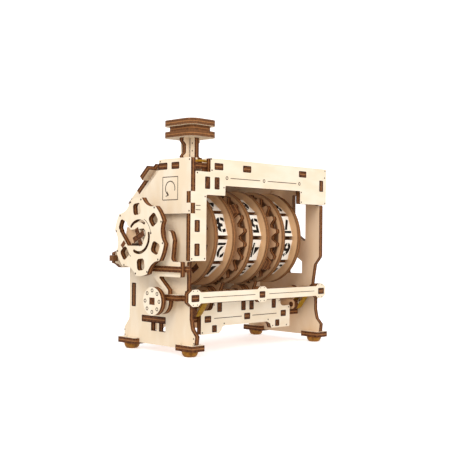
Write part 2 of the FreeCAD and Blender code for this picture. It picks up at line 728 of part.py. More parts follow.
def axle_strip(upright):
    """One of the two long strips that cross to form the axle."""
    left = WHEEL_X
    right = PANEL_RIGHT_X + 2 * PLY + 0.4
    middle = (left + right) / 2
    half = STRIP_WIDTH / 2
    thin = PLY / 2
    gap = thin + FIT
    if upright:
        shape = box(left, right, AXLE_Y - thin, AXLE_Y + thin, AXLE_Z - half, AXLE_Z + half)
        cutter = box(left - 1, middle, AXLE_Y - 2 * thin, AXLE_Y + 2 * thin,
                     AXLE_Z - gap, AXLE_Z + gap)
    else:
        shape = box(left, right, AXLE_Y - half, AXLE_Y + half, AXLE_Z - thin, AXLE_Z + thin)
        cutter = box(middle, right + 1, AXLE_Y - gap, AXLE_Y + gap,
                     AXLE_Z - 2 * thin, AXLE_Z + 2 * thin)
    return turned(shape.cut(cutter), CROSS_TURN)


def axle_spacers():
    """Rings on the axle that keep the drums apart."""
    gap = SPACER_GAP
    spans = [(WHEEL_X + 2 * PLY, PANEL_LEFT_X - gap), (PANEL_LEFT_X + PLY + gap, RATCHET_X),
             (RATCHET_X + PLY, DRUM_FIRST_X)]
    for k in (0, 1):
        right_face = drum_x(k) + 3 * PLY + DIGIT_WIDTH
        spans.append((right_face + gap, drum_x(k + 1) - PLY - gap))
    spans.append((drum_x(2) + 2 * PLY + DIGIT_WIDTH + gap, PANEL_RIGHT_X - gap))
    spans.append((PANEL_RIGHT_X + PLY + gap, PANEL_RIGHT_X + 2 * PLY + gap))
    solids = []
    for x0, x1 in spans:
        ring = bar_x(x0, x1, AXLE_Y, AXLE_Z, SPACER_RADIUS)
        ring = ring.cut(axle_cross(x0 - 1, x1 + 1, FIT))
        solids.append(ring)
    return Part.makeCompound(solids)


def wheel_point(radius, degrees):
    """A point on the wheel: degrees from the top towards the front, y left out."""
    a = math.radians(degrees)
    return Vec(-radius * math.sin(a), radius * math.cos(a), 0)


def hand_wheel():
    """Six-lobed wheel on the left with holes, arc slots and a window."""
    edges = []
    step = 360.0 / WHEEL_LOBES
    half = WHEEL_LOBE_HALF_ANGLE
    for i in range(WHEEL_LOBES):
        c = WHEEL_PHASE + i * step
        a = wheel_point(WHEEL_RADIUS, c - half)
        b = wheel_point(WHEEL_RADIUS, c + half)
        n = wheel_point(WHEEL_RADIUS, c + step - half)
        edges.append(Part.Arc(a, wheel_point(WHEEL_RADIUS, c), b).toShape())
        edges.append(Part.Arc(b, wheel_point(WHEEL_NOTCH_RADIUS, c + step / 2), n).toShape())
    face = sheet(Part.Wire(edges))
    size = WHEEL_HOLE_SIZE / 2
    for i in range(WHEEL_LOBES):
        c = WHEEL_PHASE + i * step
        hole = sheet(outline(rectangle(-size, size, -size, size), 1.7), PLY + 2)
        hole.rotate(Vec(0, 0, 0), Vec(0, 0, 1), c)
        hole.translate(wheel_point(WHEEL_HOLE_RADIUS, c) + Vec(0, 0, -1))
        face = face.cut(hole)
    for start, end in WHEEL_ARC_SPANS:
        face = face.cut(arc_slot(WHEEL_ARC_RADIUS, WHEEL_ARC_WIDTH, start, end))
    window = [(11.2, 7.6), (15.4, 7.0), (15.6, 2.8), (8.9, -4.7), (-2.6, -4.7), (-5.6, 0.9),
              (-5.3, 3.0), (-4.0, 4.2), (6.6, 3.5)]
    opening = sheet(outline(window, 0.8), PLY + 2)
    opening.translate(Vec(0, 0, -1))
    face = face.cut(opening)
    shape = place_sheet(face, TURN_YZ, Vec(WHEEL_X, AXLE_Y, AXLE_Z))
    return largest(shape.cut(axle_cross(WHEEL_X - 1, WHEEL_X + PLY + 1, FIT)))


def largest(shape):
    """The biggest solid of a shape."""
    return sorted(shape.Solids, key=lambda s: s.Volume)[-1]


def arc_slot(radius, width, start, end):
    """A curved slot cutter between two wheel angles."""
    points = []
    middle = (start + end) / 2
    outer = radius + width / 2
    inner = radius - width / 2
    a = wheel_point(outer, start)
    b = wheel_point(outer, end)
    c = wheel_point(inner, end)
    d = wheel_point(inner, start)
    points.append(Part.Arc(a, wheel_point(outer, middle), b).toShape())
    points.append(Part.Arc(b, wheel_point(radius, end + 5), c).toShape())
    points.append(Part.Arc(c, wheel_point(inner, middle), d).toShape())
    points.append(Part.Arc(d, wheel_point(radius, start - 5), a).toShape())
    cutter = sheet(Part.Wire(points), PLY + 2)
    cutter.translate(Vec(0, 0, -1))
    return cutter


def wheel_hub():
    """Plate behind the wheel that keys it on the axle."""
    x = WHEEL_X + PLY
    shape = disc_x(x, AXLE_Y, AXLE_Z, HUB_RADIUS)
    flat = box(x - 1, x + PLY + 1, AXLE_Y - 20, AXLE_Y + 20, AXLE_Z + HUB_FLAT, AXLE_Z + 20)
    return shape.cut(flat).cut(axle_cross(x - 1, x + PLY + 1, FIT))


def ratchet_wheel():
    """Ten-tooth ratchet that the push button's pawl feeds."""
    points = []
    for i in range(RATCHET_TEETH):
        a = math.radians(360.0 * i / RATCHET_TEETH)
        b = math.radians(360.0 * (i + 0.93) / RATCHET_TEETH)
        points.append((RATCHET_RADIUS * math.cos(a), RATCHET_RADIUS * math.sin(a)))
        points.append((RATCHET_ROOT * math.cos(b), RATCHET_ROOT * math.sin(b)))
    shape = wheel_plate(outline(points, 0.25), RATCHET_X, AXLE_Y, AXLE_Z)
    return shape.cut(axle_cross(RATCHET_X - 1, RATCHET_X + PLY + 1, FIT))


def button_layer(z, inset, keyed):
    """One of the button's three layers, an oblong with round corners."""
    x = STEM_X + PLY / 2
    y = STEM_Y + PLY / 2
    wide = BUTTON_HALF_X - inset
    deep = BUTTON_HALF_Y - inset
    shape = plate_xy(rectangle(x - wide, x + wide, y - deep, y + deep), z,
                     BUTTON_CORNER - inset)
    if keyed:
        half = STEM_TENON_HALF
        shape = shape.cut(slot(STEM_X, STEM_X + PLY, y - half, y + half, z, z + PLY))
        shape = shape.cut(slot(x - half, x + half, STEM_Y, STEM_Y + PLY, z, z + PLY))
    return shape


LAP_Z = 106.5


def stem_side_plate():
    """The stem's long plate, which runs down to the feed pawl."""
    y = STEM_Y + PLY / 2
    front = STEM_FRONT_Y
    rear = STEM_REAR_Y
    points = [(front, BUTTON_Z), (front, 99.6), (front + 2.3, 99.6), (front + 2.3, 97.0),
              (front, 97.0), (front, 74.0), (17.4, 74.0), (17.4, 80.0, 2.0), (rear, 84.0, 2.0),
              (rear, BUTTON_Z)]
    shape = plate_yz(points, STEM_X, 0.4)
    shape = shape.fuse(box(STEM_X, STEM_X + PLY, y - STEM_TENON_HALF, y + STEM_TENON_HALF,
                           BUTTON_Z - 1, BUTTON_Z + PLY))
    lap = box(STEM_X - 1, STEM_X + PLY + 1, STEM_Y - FIT, STEM_Y + PLY + FIT,
              LAP_Z - FIT, BUTTON_Z + PLY + 1)
    pin = bar_x(STEM_X - 1, STEM_X + PLY + 1, PAWL_PIVOT_Y, PAWL_PIVOT_Z, PIN_RADIUS)
    return shape.cut(lap).cut(pin).removeSplitter()


def stem_front_plate():
    """The stem's cross plate with flared shoulders."""
    x = STEM_X + PLY / 2
    left = SHOULDER_LEFT_X
    right = 2 * x - left
    waist = 10.65
    far = 2 * x - waist
    low = SHOULDER_BOTTOM
    band = low + SHOULDER_BAND
    points = [(left, low), (right, low), (right, band), (far, STEM_WAIST_BOTTOM, 1.0),
              (far, STEM_WAIST_TOP, 1.0), (right, NECK_TOP), (right, BUTTON_Z),
              (left, BUTTON_Z), (left, NECK_TOP), (waist, STEM_WAIST_TOP, 1.0),
              (waist, STEM_WAIST_BOTTOM, 1.0), (left, band)]
    shape = plate_xz(points, STEM_Y, 0.3)
    shape = shape.fuse(box(x - STEM_TENON_HALF, x + STEM_TENON_HALF, STEM_Y, STEM_Y + PLY,
                           BUTTON_Z - 1, BUTTON_Z + PLY))
    lap = box(STEM_X - FIT, STEM_X + PLY + FIT, STEM_Y - 1, STEM_Y + PLY + 1, low - 1, LAP_Z)
    return shape.cut(lap).removeSplitter()


def pawl_pin():
    """Pin through the stem on which the feed pawl swings."""
    return bar_x(RATCHET_X, STEM_X + PLY, PAWL_PIVOT_Y, PAWL_PIVOT_Z, PIN_RADIUS - 0.02)


def feed_pawl():
    """Pawl whose nose stands just clear of the ratchet."""
    points = [(13.0, 79.6, 1.2), (16.6, 79.6, 1.2), (17.0, 75.0, 1.0), (16.6, 66.0),
              (16.45, 62.0), (15.2, 61.4), (13.6, 63.0), (12.4, 70.0, 2.0), (12.3, 76.0, 1.2)]
    shape = plate_yz(points, RATCHET_X, 0.5)
    bore = bar_x(RATCHET_X - 1, RATCHET_X + PLY + 1, PAWL_PIVOT_Y, PAWL_PIVOT_Z,
                 PIN_RADIUS + 0.05)
    return shape.cut(bore)


PEG_PLATES = (11.8, 91.3)
BAND_GAP = 0.3


def front_bar():
    """Swinging bar across the front with three eight-sided nodes."""
    left = BAR_LEFT_X
    right = BAR_RIGHT_X
    shape = plate_xz(rectangle(left + 1, right - 1, BAR_BOTTOM, BAR_TOP), 0, 0.0)
    for centre in NODE_CENTRES:
        x0 = max(centre - NODE_HALF_WIDTH - 0.6, left)
        x1 = min(centre + NODE_HALF_WIDTH + 0.6, right)
        tip0 = centre - 1.9
        tip1 = centre + 1.9
        node = [(x0, BAR_BOTTOM + 0.6), (tip0, NODE_BOTTOM), (tip1, NODE_BOTTOM),
                (x1, BAR_BOTTOM + 0.6), (x1, BAR_TOP - 0.6), (tip1, NODE_TOP),
                (tip0, NODE_TOP), (x0, BAR_TOP - 0.6)]
        shape = shape.fuse(plate_xz(node, 0, 0.3))
    shape = shape.removeSplitter()
    for x0, x1 in arm_spans():
        shape = shape.cut(slot(x0, x1, 0, PLY, ARM_Z, ARM_Z + PLY))
    return shape


def arm_spans():
    """The tenons of the three arms in the bar."""
    return ((1.4, 6.2), (50.5, 54.5), (99.8, 104.6))


ARM_REAR_Y = 15.8
LEFT_TAB_Y = 6.0
RIGHT_TAB_Y = 12.8


def side_arm(left_side):
    """An arm from the bar along a side panel's outer face."""
    z = ARM_Z
    x0, x1 = arm_spans()[0 if left_side else 2]
    if left_side:
        outer = 0.0
        inner = PANEL_LEFT_X - 0.35
        tab = (-PLY, 0.0)
        tab_front = LEFT_TAB_Y
    else:
        outer = RIGHT_BOSS_X
        inner = PANEL_RIGHT_X + PLY + 0.35
        tab = (RIGHT_BOSS_X, RIGHT_BOSS_X + PLY)
        tab_front = RIGHT_TAB_Y
    low = min(outer, inner)
    high = max(outer, inner)
    shape = box(x0, x1, 0, 6.2, z, z + PLY)
    shape = shape.fuse(box(low, high, PLY, ARM_REAR_Y, z, z + PLY))
    shape = shape.fuse(box(tab[0], tab[1], tab_front, ARM_REAR_Y, z, z + PLY))
    return shape.removeSplitter()


def centre_arm():
    """Short middle arm with a cross piece above the lower plate."""
    x0, x1 = arm_spans()[1]
    points = [(x0, 0, 0), (x1, 0, 0), (x1, 8.0, 1.0), (x1 + 3, 9.5), (x1 + 3, 12.0),
              (x0 - 3, 12.0), (x0 - 3, 9.5), (x0, 8.0, 1.0)]
    return plate_xy(points, ARM_Z, 0.5)


def square_key(x0, x1, gap=0.0):
    """The square key on the pivot's outer end."""
    wide = SQUARE_WIDE / 2 + gap
    high = SQUARE_HIGH / 2 + gap
    return box(x0, x1, PIVOT_Y - wide, PIVOT_Y + wide, PIVOT_Z - high, PIVOT_Z + high)


def pivot(left_side):
    """A short shaft on which the front bar swings."""
    if left_side:
        body = bar_x(0, PANEL_LEFT_X + 2 * PLY + 0.35, PIVOT_Y, PIVOT_Z, PIVOT_RADIUS)
        key = square_key(DIAL_X, 1)
    else:
        x0 = PANEL_RIGHT_X - PLY - 0.35
        body = bar_x(x0, RIGHT_BOSS_X, PIVOT_Y, PIVOT_Z, PIVOT_RADIUS)
        key = square_key(RIGHT_BOSS_X - 1, RIGHT_BOSS_X + PLY)
    return body.fuse(key).removeSplitter()


def pivot_collars():
    """Collars on the pivots inside both panels and the washer behind the dial."""
    solids = []
    for x in (PANEL_LEFT_X + PLY + 0.35, PANEL_RIGHT_X - PLY - 0.35):
        ring = disc_x(x, PIVOT_Y, PIVOT_Z, COLLAR_RADIUS)
        solids.append(ring.cut(bar_x(x - 1, x + PLY + 1, PIVOT_Y, PIVOT_Z, PIVOT_RADIUS)))
    washer = bar_x(DIAL_X + PLY, -PLY, PIVOT_Y, PIVOT_Z, COLLAR_RADIUS)
    solids.append(washer.cut(square_key(DIAL_X, 0, FIT)))
    return Part.makeCompound(solids)


def dial():
    """Round dial on the left pivot's outer end."""
    shape = disc_x(DIAL_X, PIVOT_Y, PIVOT_Z, DIAL_RADIUS)
    return shape.cut(square_key(DIAL_X - 1, DIAL_X + PLY + 1, FIT))


def release_lever():
    """Lever plate with an upright, a bracket and a boss on the pivot."""
    points = [(13.0, 28.0, 0), (18.5, 28.0, 0), (17.0, 33.4, 1.0), (19.6, 35.6, 1.0),
              (25.6, 40.6, 2.0), (27.0, 42.0), (27.0, 47.3), (17.3, 47.3, 2.0),
              (17.3, 58.0, 1.5), (15.3, 62.2, 1.5), (13.3, 63.0, 1.5), (11.2, 62.2, 1.5),
              (9.6, 58.0, 1.5), (11.0, 47.3, 2.0), (3.7, 47.3), (3.7, 39.7), (20.6, 39.7),
              (12.9, 33.2), (12.9, 31.2)]
    shape = plate_yz(points, -PLY, 0.6)
    shape = shape.fuse(disc_x(-PLY, PIVOT_Y, PIVOT_Z, BOSS_RADIUS)).removeSplitter()
    shape = shape.cut(slot(-PLY, 0, LEFT_TAB_Y, ARM_REAR_Y, ARM_Z, ARM_Z + PLY))
    shape = shape.cut(square_key(-PLY - 1, 1, FIT))
    return shape.cut(slot(-PLY, 0, STRIP_LAP_Y, 30.0, STRIP_Z, STRIP_Z + PLY))


STRIP_Z = 42.1
STRIP_LAP_Y = 20.0


def thumb_strip():
    """Level strip across the release lever."""
    points = rectangle(-4.25, 2.65, 3.0, 27.6)
    shape = plate_xy(points, STRIP_Z, 0.6)
    return shape.cut(slot(-PLY, 0, 0, STRIP_LAP_Y, STRIP_Z, STRIP_Z + PLY))


def right_boss():
    """Plate on the right pivot's outer end that holds the right arm."""
    x = RIGHT_BOSS_X
    shape = disc_x(x, PIVOT_Y, PIVOT_Z, BOSS_RADIUS)
    block = plate_yz(rectangle(*BOSS_BLOCK), x)
    shape = shape.fuse(block).removeSplitter()
    shape = shape.cut(slot(x, x + PLY, RIGHT_TAB_Y, ARM_REAR_Y, ARM_Z, ARM_Z + PLY))
    return shape.cut(square_key(x - 1, x + PLY + 1, FIT))


def bar_hooks():
    """Two small plates on the bar's back that hold the bands' upper pegs."""
    solids = []
    py, pz = UPPER_PEG
    for x in PEG_PLATES:
        points = [(PLY, BAR_BOTTOM, 0), (8.4, BAR_BOTTOM), (9.6, 27.9), (9.6, 30.8),
                  (8.4, BAR_TOP), (PLY, BAR_TOP, 0)]
        plate = plate_yz(points, x, 0.5)
        solids.append(plate.cut(bar_x(x - 1, x + PLY + 1, py, pz, PEG_RADIUS)))
    return Part.makeCompound(solids)


def shelf_hooks():
    """Two small plates on the shelf that hold the bands' lower pegs."""
    solids = []
    py, pz = LOWER_PEG
    low = SHELF_Z + PLY
    for x in PEG_PLATES:
        points = [(16.6, low, 0), (19.0, low, 0), (19.0, SHELF_Z, 0), (25.0, SHELF_Z, 0),
                  (25.0, low, 0), (27.0, low, 0), (22.0, 22.0), (16.0, 24.2), (11.8, 24.2),
                  (10.6, 22.8), (10.6, 20.0), (11.8, 18.8)]
        plate = plate_yz(points, x, 0.4)
        solids.append(plate.cut(bar_x(x - 1, x + PLY + 1, py, pz, PEG_RADIUS)))
    return Part.makeCompound(solids)


def pegs(centre):
    """The two pegs that stick out of a pair of hook plates."""
    y, z = centre
    length = PLY + BAND_GAP + BAND_WIDTH
    solids = [bar_x(x, x + length, y, z, PEG_RADIUS - 0.02) for x in PEG_PLATES]
    return Part.makeCompound(solids)


def loop_wire(first, second, radius):
    """A racetrack around two centres."""
    a = Vec(first[0], first[1], 0)
    b = Vec(second[0], second[1], 0)
    along = b - a
    along.normalize()
    side = Vec(-along.y, along.x, 0) * radius
    lines = [Part.Arc(a - side, a - along * radius, a + side).toShape(),
             Part.makeLine(a + side, b + side),
             Part.Arc(b + side, b + along * radius, b - side).toShape(),
             Part.makeLine(b - side, a - side)]
    return Part.Wire(lines)


def bar_bands():
    """Two rubber bands that pull the front bar down."""
    solids = []
    inner = PEG_RADIUS + FIT
    for plate_x in PEG_PLATES:
        x = plate_x + PLY + BAND_GAP
        outer = sheet(loop_wire(UPPER_PEG, LOWER_PEG, inner + BAND_THICKNESS), BAND_WIDTH)
        hole = sheet(loop_wire(UPPER_PEG, LOWER_PEG, inner), BAND_WIDTH)
        solids.append(place_sheet(outer.cut(hole), TURN_YZ, Vec(x, 0, 0)))
    return Part.makeCompound(solids)


def button_band():
    """Rubber band around the guide horns that lifts the stem."""
    low = PANEL_TOP + PLY + STEM_BAND_RISE
    x0 = GUIDE_LEFT_X - FIT
    x1 = GUIDE_RIGHT_X + PLY + FIT
    y0 = HORN[0] - FIT
    y1 = STEM_BAND_REAR_Y
    t = BAND_THICKNESS
    outer = plate_xy(rectangle(x0 - t, x1 + t, y0 - t, y1 + t), low, 1.6, t)
    inner = plate_xy(rectangle(x0, x1, y0, y1), low, 0.0, t)
    return outer.cut(inner)


def group(make, places):
    """Several separate solids in one file."""
    return Part.makeCompound([make(place) for place in places])


def drum_nodes(k):
    """The sub-parts of one drum."""
    name = "drum%d_" % (k + 1)
    x = drum_x(k)
    nodes = {name + "left_disc": drum_disc(k, x),
             name + "right_disc": drum_disc(k, x + PLY + DIGIT_WIDTH),
             name + "digit_plates": digit_plates(k)}
    if k > 0:
        nodes[name + "gear"] = drum_gear(k)
    if k < DRUM_COUNT - 1:
        nodes[name + "carry_disc"] = carry_disc(k)
    return nodes


def all_nodes():
    """Every sub-part by name."""
    nodes = {
        "front_frame": front_frame(), "left_cover": left_cover(),
        "left_panel": left_panel(), "right_panel": right_panel(),
        "top_plate": top_plate(), "reading_face": reading_face(),
        "rear_plate": rear_plate(), "shelf": shelf(),
        "lower_front_plate": lower_front_plate(),
        "pinion_ribs": group(rib, RIB_X), "shelf_braces": group(brace, BRACE_X),
        "stem_guides": group(stem_guide, (GUIDE_LEFT_X, GUIDE_RIGHT_X)),
        "rear_ear": rear_ear(), "ear_key": ear_key(),
        "foot_plates": foot_plates(), "rubber_feet": rubber_feet(),
        "pinion_shafts": pinion_shafts(),
        "shelf_hooks": shelf_hooks(), "shelf_pegs": pegs(LOWER_PEG),
        "button_band": button_band(), "bar_bands": bar_bands(),
        "hand_wheel": hand_wheel(), "wheel_hub": wheel_hub(),
        "axle_strips": group(axle_strip, (False, True)),
        "axle_spacers": axle_spacers(), "ratchet_wheel": ratchet_wheel(),
        "transfer_pinion1": pinion(0), "transfer_pinion2": pinion(1),
        "button_bottom_layer": button_layer(BUTTON_Z, 0, True),
        "button_middle_layer": button_layer(BUTTON_Z + PLY, BUTTON_GROOVE, False),
        "button_top_layer": button_layer(BUTTON_Z + 2 * PLY, 0, False),
        "stem_side_plate": stem_side_plate(), "stem_front_plate": stem_front_plate(),
        "pawl_pin": pawl_pin(), "feed_pawl": feed_pawl(),
        "front_bar": front_bar(), "side_arms": group(side_arm, (True, False)),
        "centre_arm": centre_arm(), "bar_pivots": group(pivot, (True, False)),
        "pivot_collars": pivot_collars(), "dial": dial(),
        "release_lever": release_lever(), "thumb_strip": thumb_strip(),
        "right_boss": right_boss(), "bar_hooks": bar_hooks(), "bar_pegs": pegs(UPPER_PEG),
    }
    for k in range(DRUM_COUNT):
        nodes.update(drum_nodes(k))
    return nodes


def export_all():
    """Move every node to the object's origin and write it."""
    os.makedirs("parts", exist_ok=True)
    for name, shape in all_nodes().items():
        placed = shape.copy()
        placed.translate(Vec(-ORIGIN_X, -ORIGIN_Y, 0))
        placed.exportStep("parts/%s.step" % name)
        box_ = placed.BoundBox
        print(name, len(placed.Solids), placed.isValid(), round(placed.Volume, 1),
              [round(v, 2) for v in (box_.XMin, box_.XMax, box_.YMin, box_.YMax,
                                     box_.ZMin, box_.ZMax)])


export_all()
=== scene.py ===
import bmesh
import bpy
import math
from mathutils import Matrix, Vector


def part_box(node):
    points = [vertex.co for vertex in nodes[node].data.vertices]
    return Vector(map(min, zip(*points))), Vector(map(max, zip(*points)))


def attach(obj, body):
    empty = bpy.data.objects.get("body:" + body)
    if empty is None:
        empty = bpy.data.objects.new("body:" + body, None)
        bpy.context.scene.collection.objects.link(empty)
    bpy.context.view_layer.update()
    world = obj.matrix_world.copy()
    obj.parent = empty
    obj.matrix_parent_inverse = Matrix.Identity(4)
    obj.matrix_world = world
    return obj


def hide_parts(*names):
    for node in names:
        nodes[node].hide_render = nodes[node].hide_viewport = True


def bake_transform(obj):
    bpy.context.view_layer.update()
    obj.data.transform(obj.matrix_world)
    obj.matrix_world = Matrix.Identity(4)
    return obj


# Looks of the wooden counter kit: laser-cut plywood with burnt edges, white digit plates with
# stencil digits, engraved lines and dots, amber rubber bands and bumpers.
# Sizes below are in mm in the drawing frame: x along the axle from the front frame's left end,
# y back from the front frame's face, z up from the table.

ORIGIN_X = 49.7
ORIGIN_Y = 27.75
MM = 0.001
PLY = 3.0

# The axle and its drums: left end, body and first digit of each, and the digits round a drum.
AXLE_Y = 29.0
AXLE_Z = 59.6
DRUM_LEFT = (19.0, 45.0, 71.0)
DRUM_BODY = ("drive_train", "tens_drum", "hundreds_drum")
DRUM_FIRST_DIGIT = (3, 5, 7)
DIGIT_COUNT = 10
FACET = 2 * math.pi / DIGIT_COUNT
DIGIT_WIDTH = 10.4
DIGIT_FACE_RADIUS = 21.6

# Outer faces of the hand wheel and the dial with their rings of marks, and the bar's pivot.
WHEEL_X = -9.05
WHEEL_DOT_RADIUS = 18.9
DIAL_X = -8.2
DIAL_RING_RADIUS = 5.4
DIAL_CIRCLES = 8
DIAL_CIRCLE_RADIUS = 0.78
PIVOT_Y = 19.0
PIVOT_Z = 27.4

# Faces of the cover, the lower plate and the stem that carry marks, and the feet.
COVER_FACE_X = 0.0
LOWER_FACE_Y = 12.6
STEM_FACE_X = 13.1
STEM_SEAM_Y = 15.3
FOOT_X = (4.5, 101.6)
FOOT_Y = (4.5, 50.5)
FOOT_TOP_Z = 6.0

# The reading face: the turn that lays it level and how far its inner side is from the axle.
SLOPE_TILT = math.radians(90 - 48.2)
SLOPE_REACH = 26.5

# Engraving: the ways that marked faces look, height of every mark, width of a fine line,
# radius of a dot, and the small circles.
TO_LEFT = (-1, 0, 0)
TO_FRONT = (0, -1, 0)
UPWARDS = (0, 0, 1)
MARK = 0.03
FINE_LINE = 0.36
DOT = 0.42
RING_RADIUS = 0.75
RING_LINE = 0.42

# Rubber bands of the front bar: pegs as y and z, the band's half width and half thickness, how
# far its middle is from a peg's, and the ease by which the shown band is slimmer.
UPPER_PEG = (7.2, 29.4)
LOWER_PEG = (13.2, 21.4)
PEG_RADIUS = 1.5
PEG_GAP = 0.05
BAND_HALF_WIDTH = 2.1
BAND_HALF_THICK = 0.65
BAND_MIDDLE = PEG_RADIUS + PEG_GAP + BAND_HALF_THICK
BAND_EASE = 0.03
BAND_PLATES = (11.8, 91.3)
PLATE_GAP = 0.3

# Rubber band round the horns of the stem guides: its middle line and its radius.
HORN_MIDDLE_X = 14.65
HORN_REAR_Y = 13.1
HORN_FRONT_Y = 5.3
HORN_BAND_Z = 98.25
HORN_REACH = 5.5
HORN_CORNER = 1.0
HORN_BAND_RADIUS = 0.6

# The photo's camera: place in the drawing frame, lens and angles.
CAMERA_PLACE = (-278.84, -305.82, 59.43)
CAMERA_LENS = 66.17
CAMERA_HEADING = math.radians(45.02)
CAMERA_PITCH = math.radians(0.60)
CAMERA_ROLL = math.radians(0.52)

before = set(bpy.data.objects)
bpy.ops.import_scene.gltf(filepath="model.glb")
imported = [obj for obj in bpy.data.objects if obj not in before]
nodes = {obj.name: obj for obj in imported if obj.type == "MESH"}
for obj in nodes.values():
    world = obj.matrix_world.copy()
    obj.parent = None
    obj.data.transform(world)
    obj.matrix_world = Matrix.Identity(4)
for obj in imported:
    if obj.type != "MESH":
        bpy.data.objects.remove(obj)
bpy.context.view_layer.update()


def place(x, y, z):
    """A drawing point in metres in the row frame."""
    return Vector(((x - ORIGIN_X) * MM, (y - ORIGIN_Y) * MM, z * MM))


class Number:
    """A shader value that takes part in ordinary arithmetic."""

    def __init__(self, paint, link):
        self.paint = paint
        self.link = link

    def maths(self, operation, first, second=0.0):
        made = self.paint.node("ShaderNodeMath", {"operation": operation}, [first, second])
        return Number(self.paint, made.outputs[0])

    def __add__(self, other):
        return self.maths("ADD", self, other)

    def __radd__(self, other):
        return self.maths("ADD", other, self)

    def __sub__(self, other):
        return self.maths("SUBTRACT", self, other)

    def __rsub__(self, other):
        return self.maths("SUBTRACT", other, self)

    def __mul__(self, other):
        return self.maths("MULTIPLY", self, other)

    def __rmul__(self, other):
        return self.maths("MULTIPLY", other, self)

    def __truediv__(self, other):
        return self.maths("DIVIDE", self, other)

    def __rtruediv__(self, other):
        return self.maths("DIVIDE", other, self)

    def __abs__(self):
        return self.maths("ABSOLUTE", self)

    def step(self, low, high):
        """0 below low, 1 above high and smooth between them."""
        made = self.paint.node(
            "ShaderNodeMapRange", {"interpolation_type": "SMOOTHSTEP"},
            {"Value": self, "From Min": low, "From Max": high, "To Min": 0.0, "To Max": 1.0})
        return Number(self.paint, made.outputs["Result"])

    def squarely(self):
        """For a part of a normal: 1 where the surface looks along it and 0 where it doesn't."""
        return abs(self).step(0.55, 0.75)

    def fraction(self):
        return self.maths("FRACT", self)

    def larger(self, other):
        return self.maths("MAXIMUM", self, other)


class Paint:
    """One material and its nodes."""

    def __init__(self, name, roughness=0.6):
        self.material = bpy.data.materials.new(name)
        self.material.use_nodes = True
        self.tree = self.material.node_tree
        self.shader = self.tree.nodes["Principled BSDF"]
        self.shader.inputs["Roughness"].default_value = roughness
        self.shader.inputs["Specular IOR Level"].default_value = 0.15
        self.coords = self.tree.nodes.new("ShaderNodeTexCoord")

    def node(self, kind, settings, inputs):
        """Any node: its settings first, then the values or links of its sockets."""
        made = self.tree.nodes.new(kind)
        for key, value in settings.items():
            setattr(made, key, value)
        pairs = inputs.items() if isinstance(inputs, dict) else enumerate(inputs)
        for key, value in pairs:
            self.feed(made.inputs[key], value)
        return made

    def feed(self, socket, value):
        """Give a socket a link or a constant."""
        if isinstance(value, Number):
            self.tree.links.new(value.link, socket)
        elif isinstance(value, bpy.types.NodeSocket):
            self.tree.links.new(value, socket)
        elif isinstance(value, (tuple, list)) and len(value) == 3 and socket.type == "RGBA":
            socket.default_value = (*value, 1.0)
        else:
            socket.default_value = value

    def point(self):
        """Object coordinates in mm in the drawing frame."""
        made = self.node("ShaderNodeMapping", {}, {
            "Vector": self.coords.outputs["Object"],
            "Location": (ORIGIN_X, ORIGIN_Y, 0.0),
            "Scale": (1 / MM, 1 / MM, 1 / MM)})
        return made.outputs[0]

    def parts(self, vector):
        """The x, y and z of a vector."""
        made = self.node("ShaderNodeSeparateXYZ", {}, [vector])
        return [Number(self, made.outputs[i]) for i in range(3)]

    def noise(self, vector, scale, detail=3.0, rough=0.55, stretch=(1, 1, 1), shift=(0, 0, 0)):
        """A noise value of 0 to 1; stretch squeezes it along each direction."""
        mapped = self.node("ShaderNodeMapping", {}, {
            "Vector": vector, "Location": shift, "Scale": stretch})
        made = self.node("ShaderNodeTexNoise", {}, {
            "Vector": mapped.outputs[0], "Scale": scale, "Detail": detail, "Roughness": rough})
        return Number(self, made.outputs["Fac"])

    def distance(self, across, up):
        """The length of a vector of two parts."""
        made = self.node("ShaderNodeMath", {"operation": "SQRT"}, [across * across + up * up])
        return Number(self, made.outputs[0])

    def mix(self, amount, first, second):
        """A colour between two colours."""
        made = self.node("ShaderNodeMix", {"data_type": "RGBA"}, {0: amount, 6: first, 7: second})
        return made.outputs[2]

    def bump(self, height, distance, strength=1.0):
        made = self.node("ShaderNodeBump", {}, {
            "Strength": strength, "Distance": distance * MM, "Height": height})
        self.feed(self.shader.inputs["Normal"], made.outputs[0])

    def colour(self, value):
        self.feed(self.shader.inputs["Base Color"], value)

    def rough(self, value):
        self.feed(self.shader.inputs["Roughness"], value)


# Colours as linear red, green and blue; pairs go from deep to bright.
CREAM_PALE = (0.87, 0.76, 0.605)
CREAM_WARM = (0.82, 0.685, 0.505)
GRAIN_BROWN = (0.62, 0.46, 0.29)
# The tan below is painted shade: the warm darker tone of sheets that lie in shade.
SHADE_TAN = (0.63, 0.335, 0.135)
BURNT_DARK = (0.050, 0.014, 0.004)
BURNT_MID = (0.165, 0.058, 0.018)
BURNT_LIGHT = (0.43, 0.185, 0.062)
EDGE_TAN = (0.52, 0.27, 0.105)
DIGIT_WHITE = (0.95, 0.905, 0.82)
DIGIT_CREAM = (0.90, 0.83, 0.71)
LINE_BROWN = (0.05, 0.028, 0.018)
INK_BLACK = (0.010, 0.007, 0.006)
SCORCH_BROWN = (0.035, 0.010, 0.004)
# The slot brown below is painted shade for a slot's depth, with the brown of its burnt edges.
SLOT_SHADE_BROWN = (0.12, 0.042, 0.016)
BAND_AMBER = ((0.25, 0.125, 0.006), (0.42, 0.225, 0.014))
FOOT_AMBER = ((0.19, 0.070, 0.010), (0.36, 0.155, 0.020))
PAPER = ((0.90, 0.875, 0.878), (0.91, 0.885, 0.886))

# Where the glue lines lie in a sheet, in shares of its thickness.
GLUE_LINES = (0.34, 0.66)


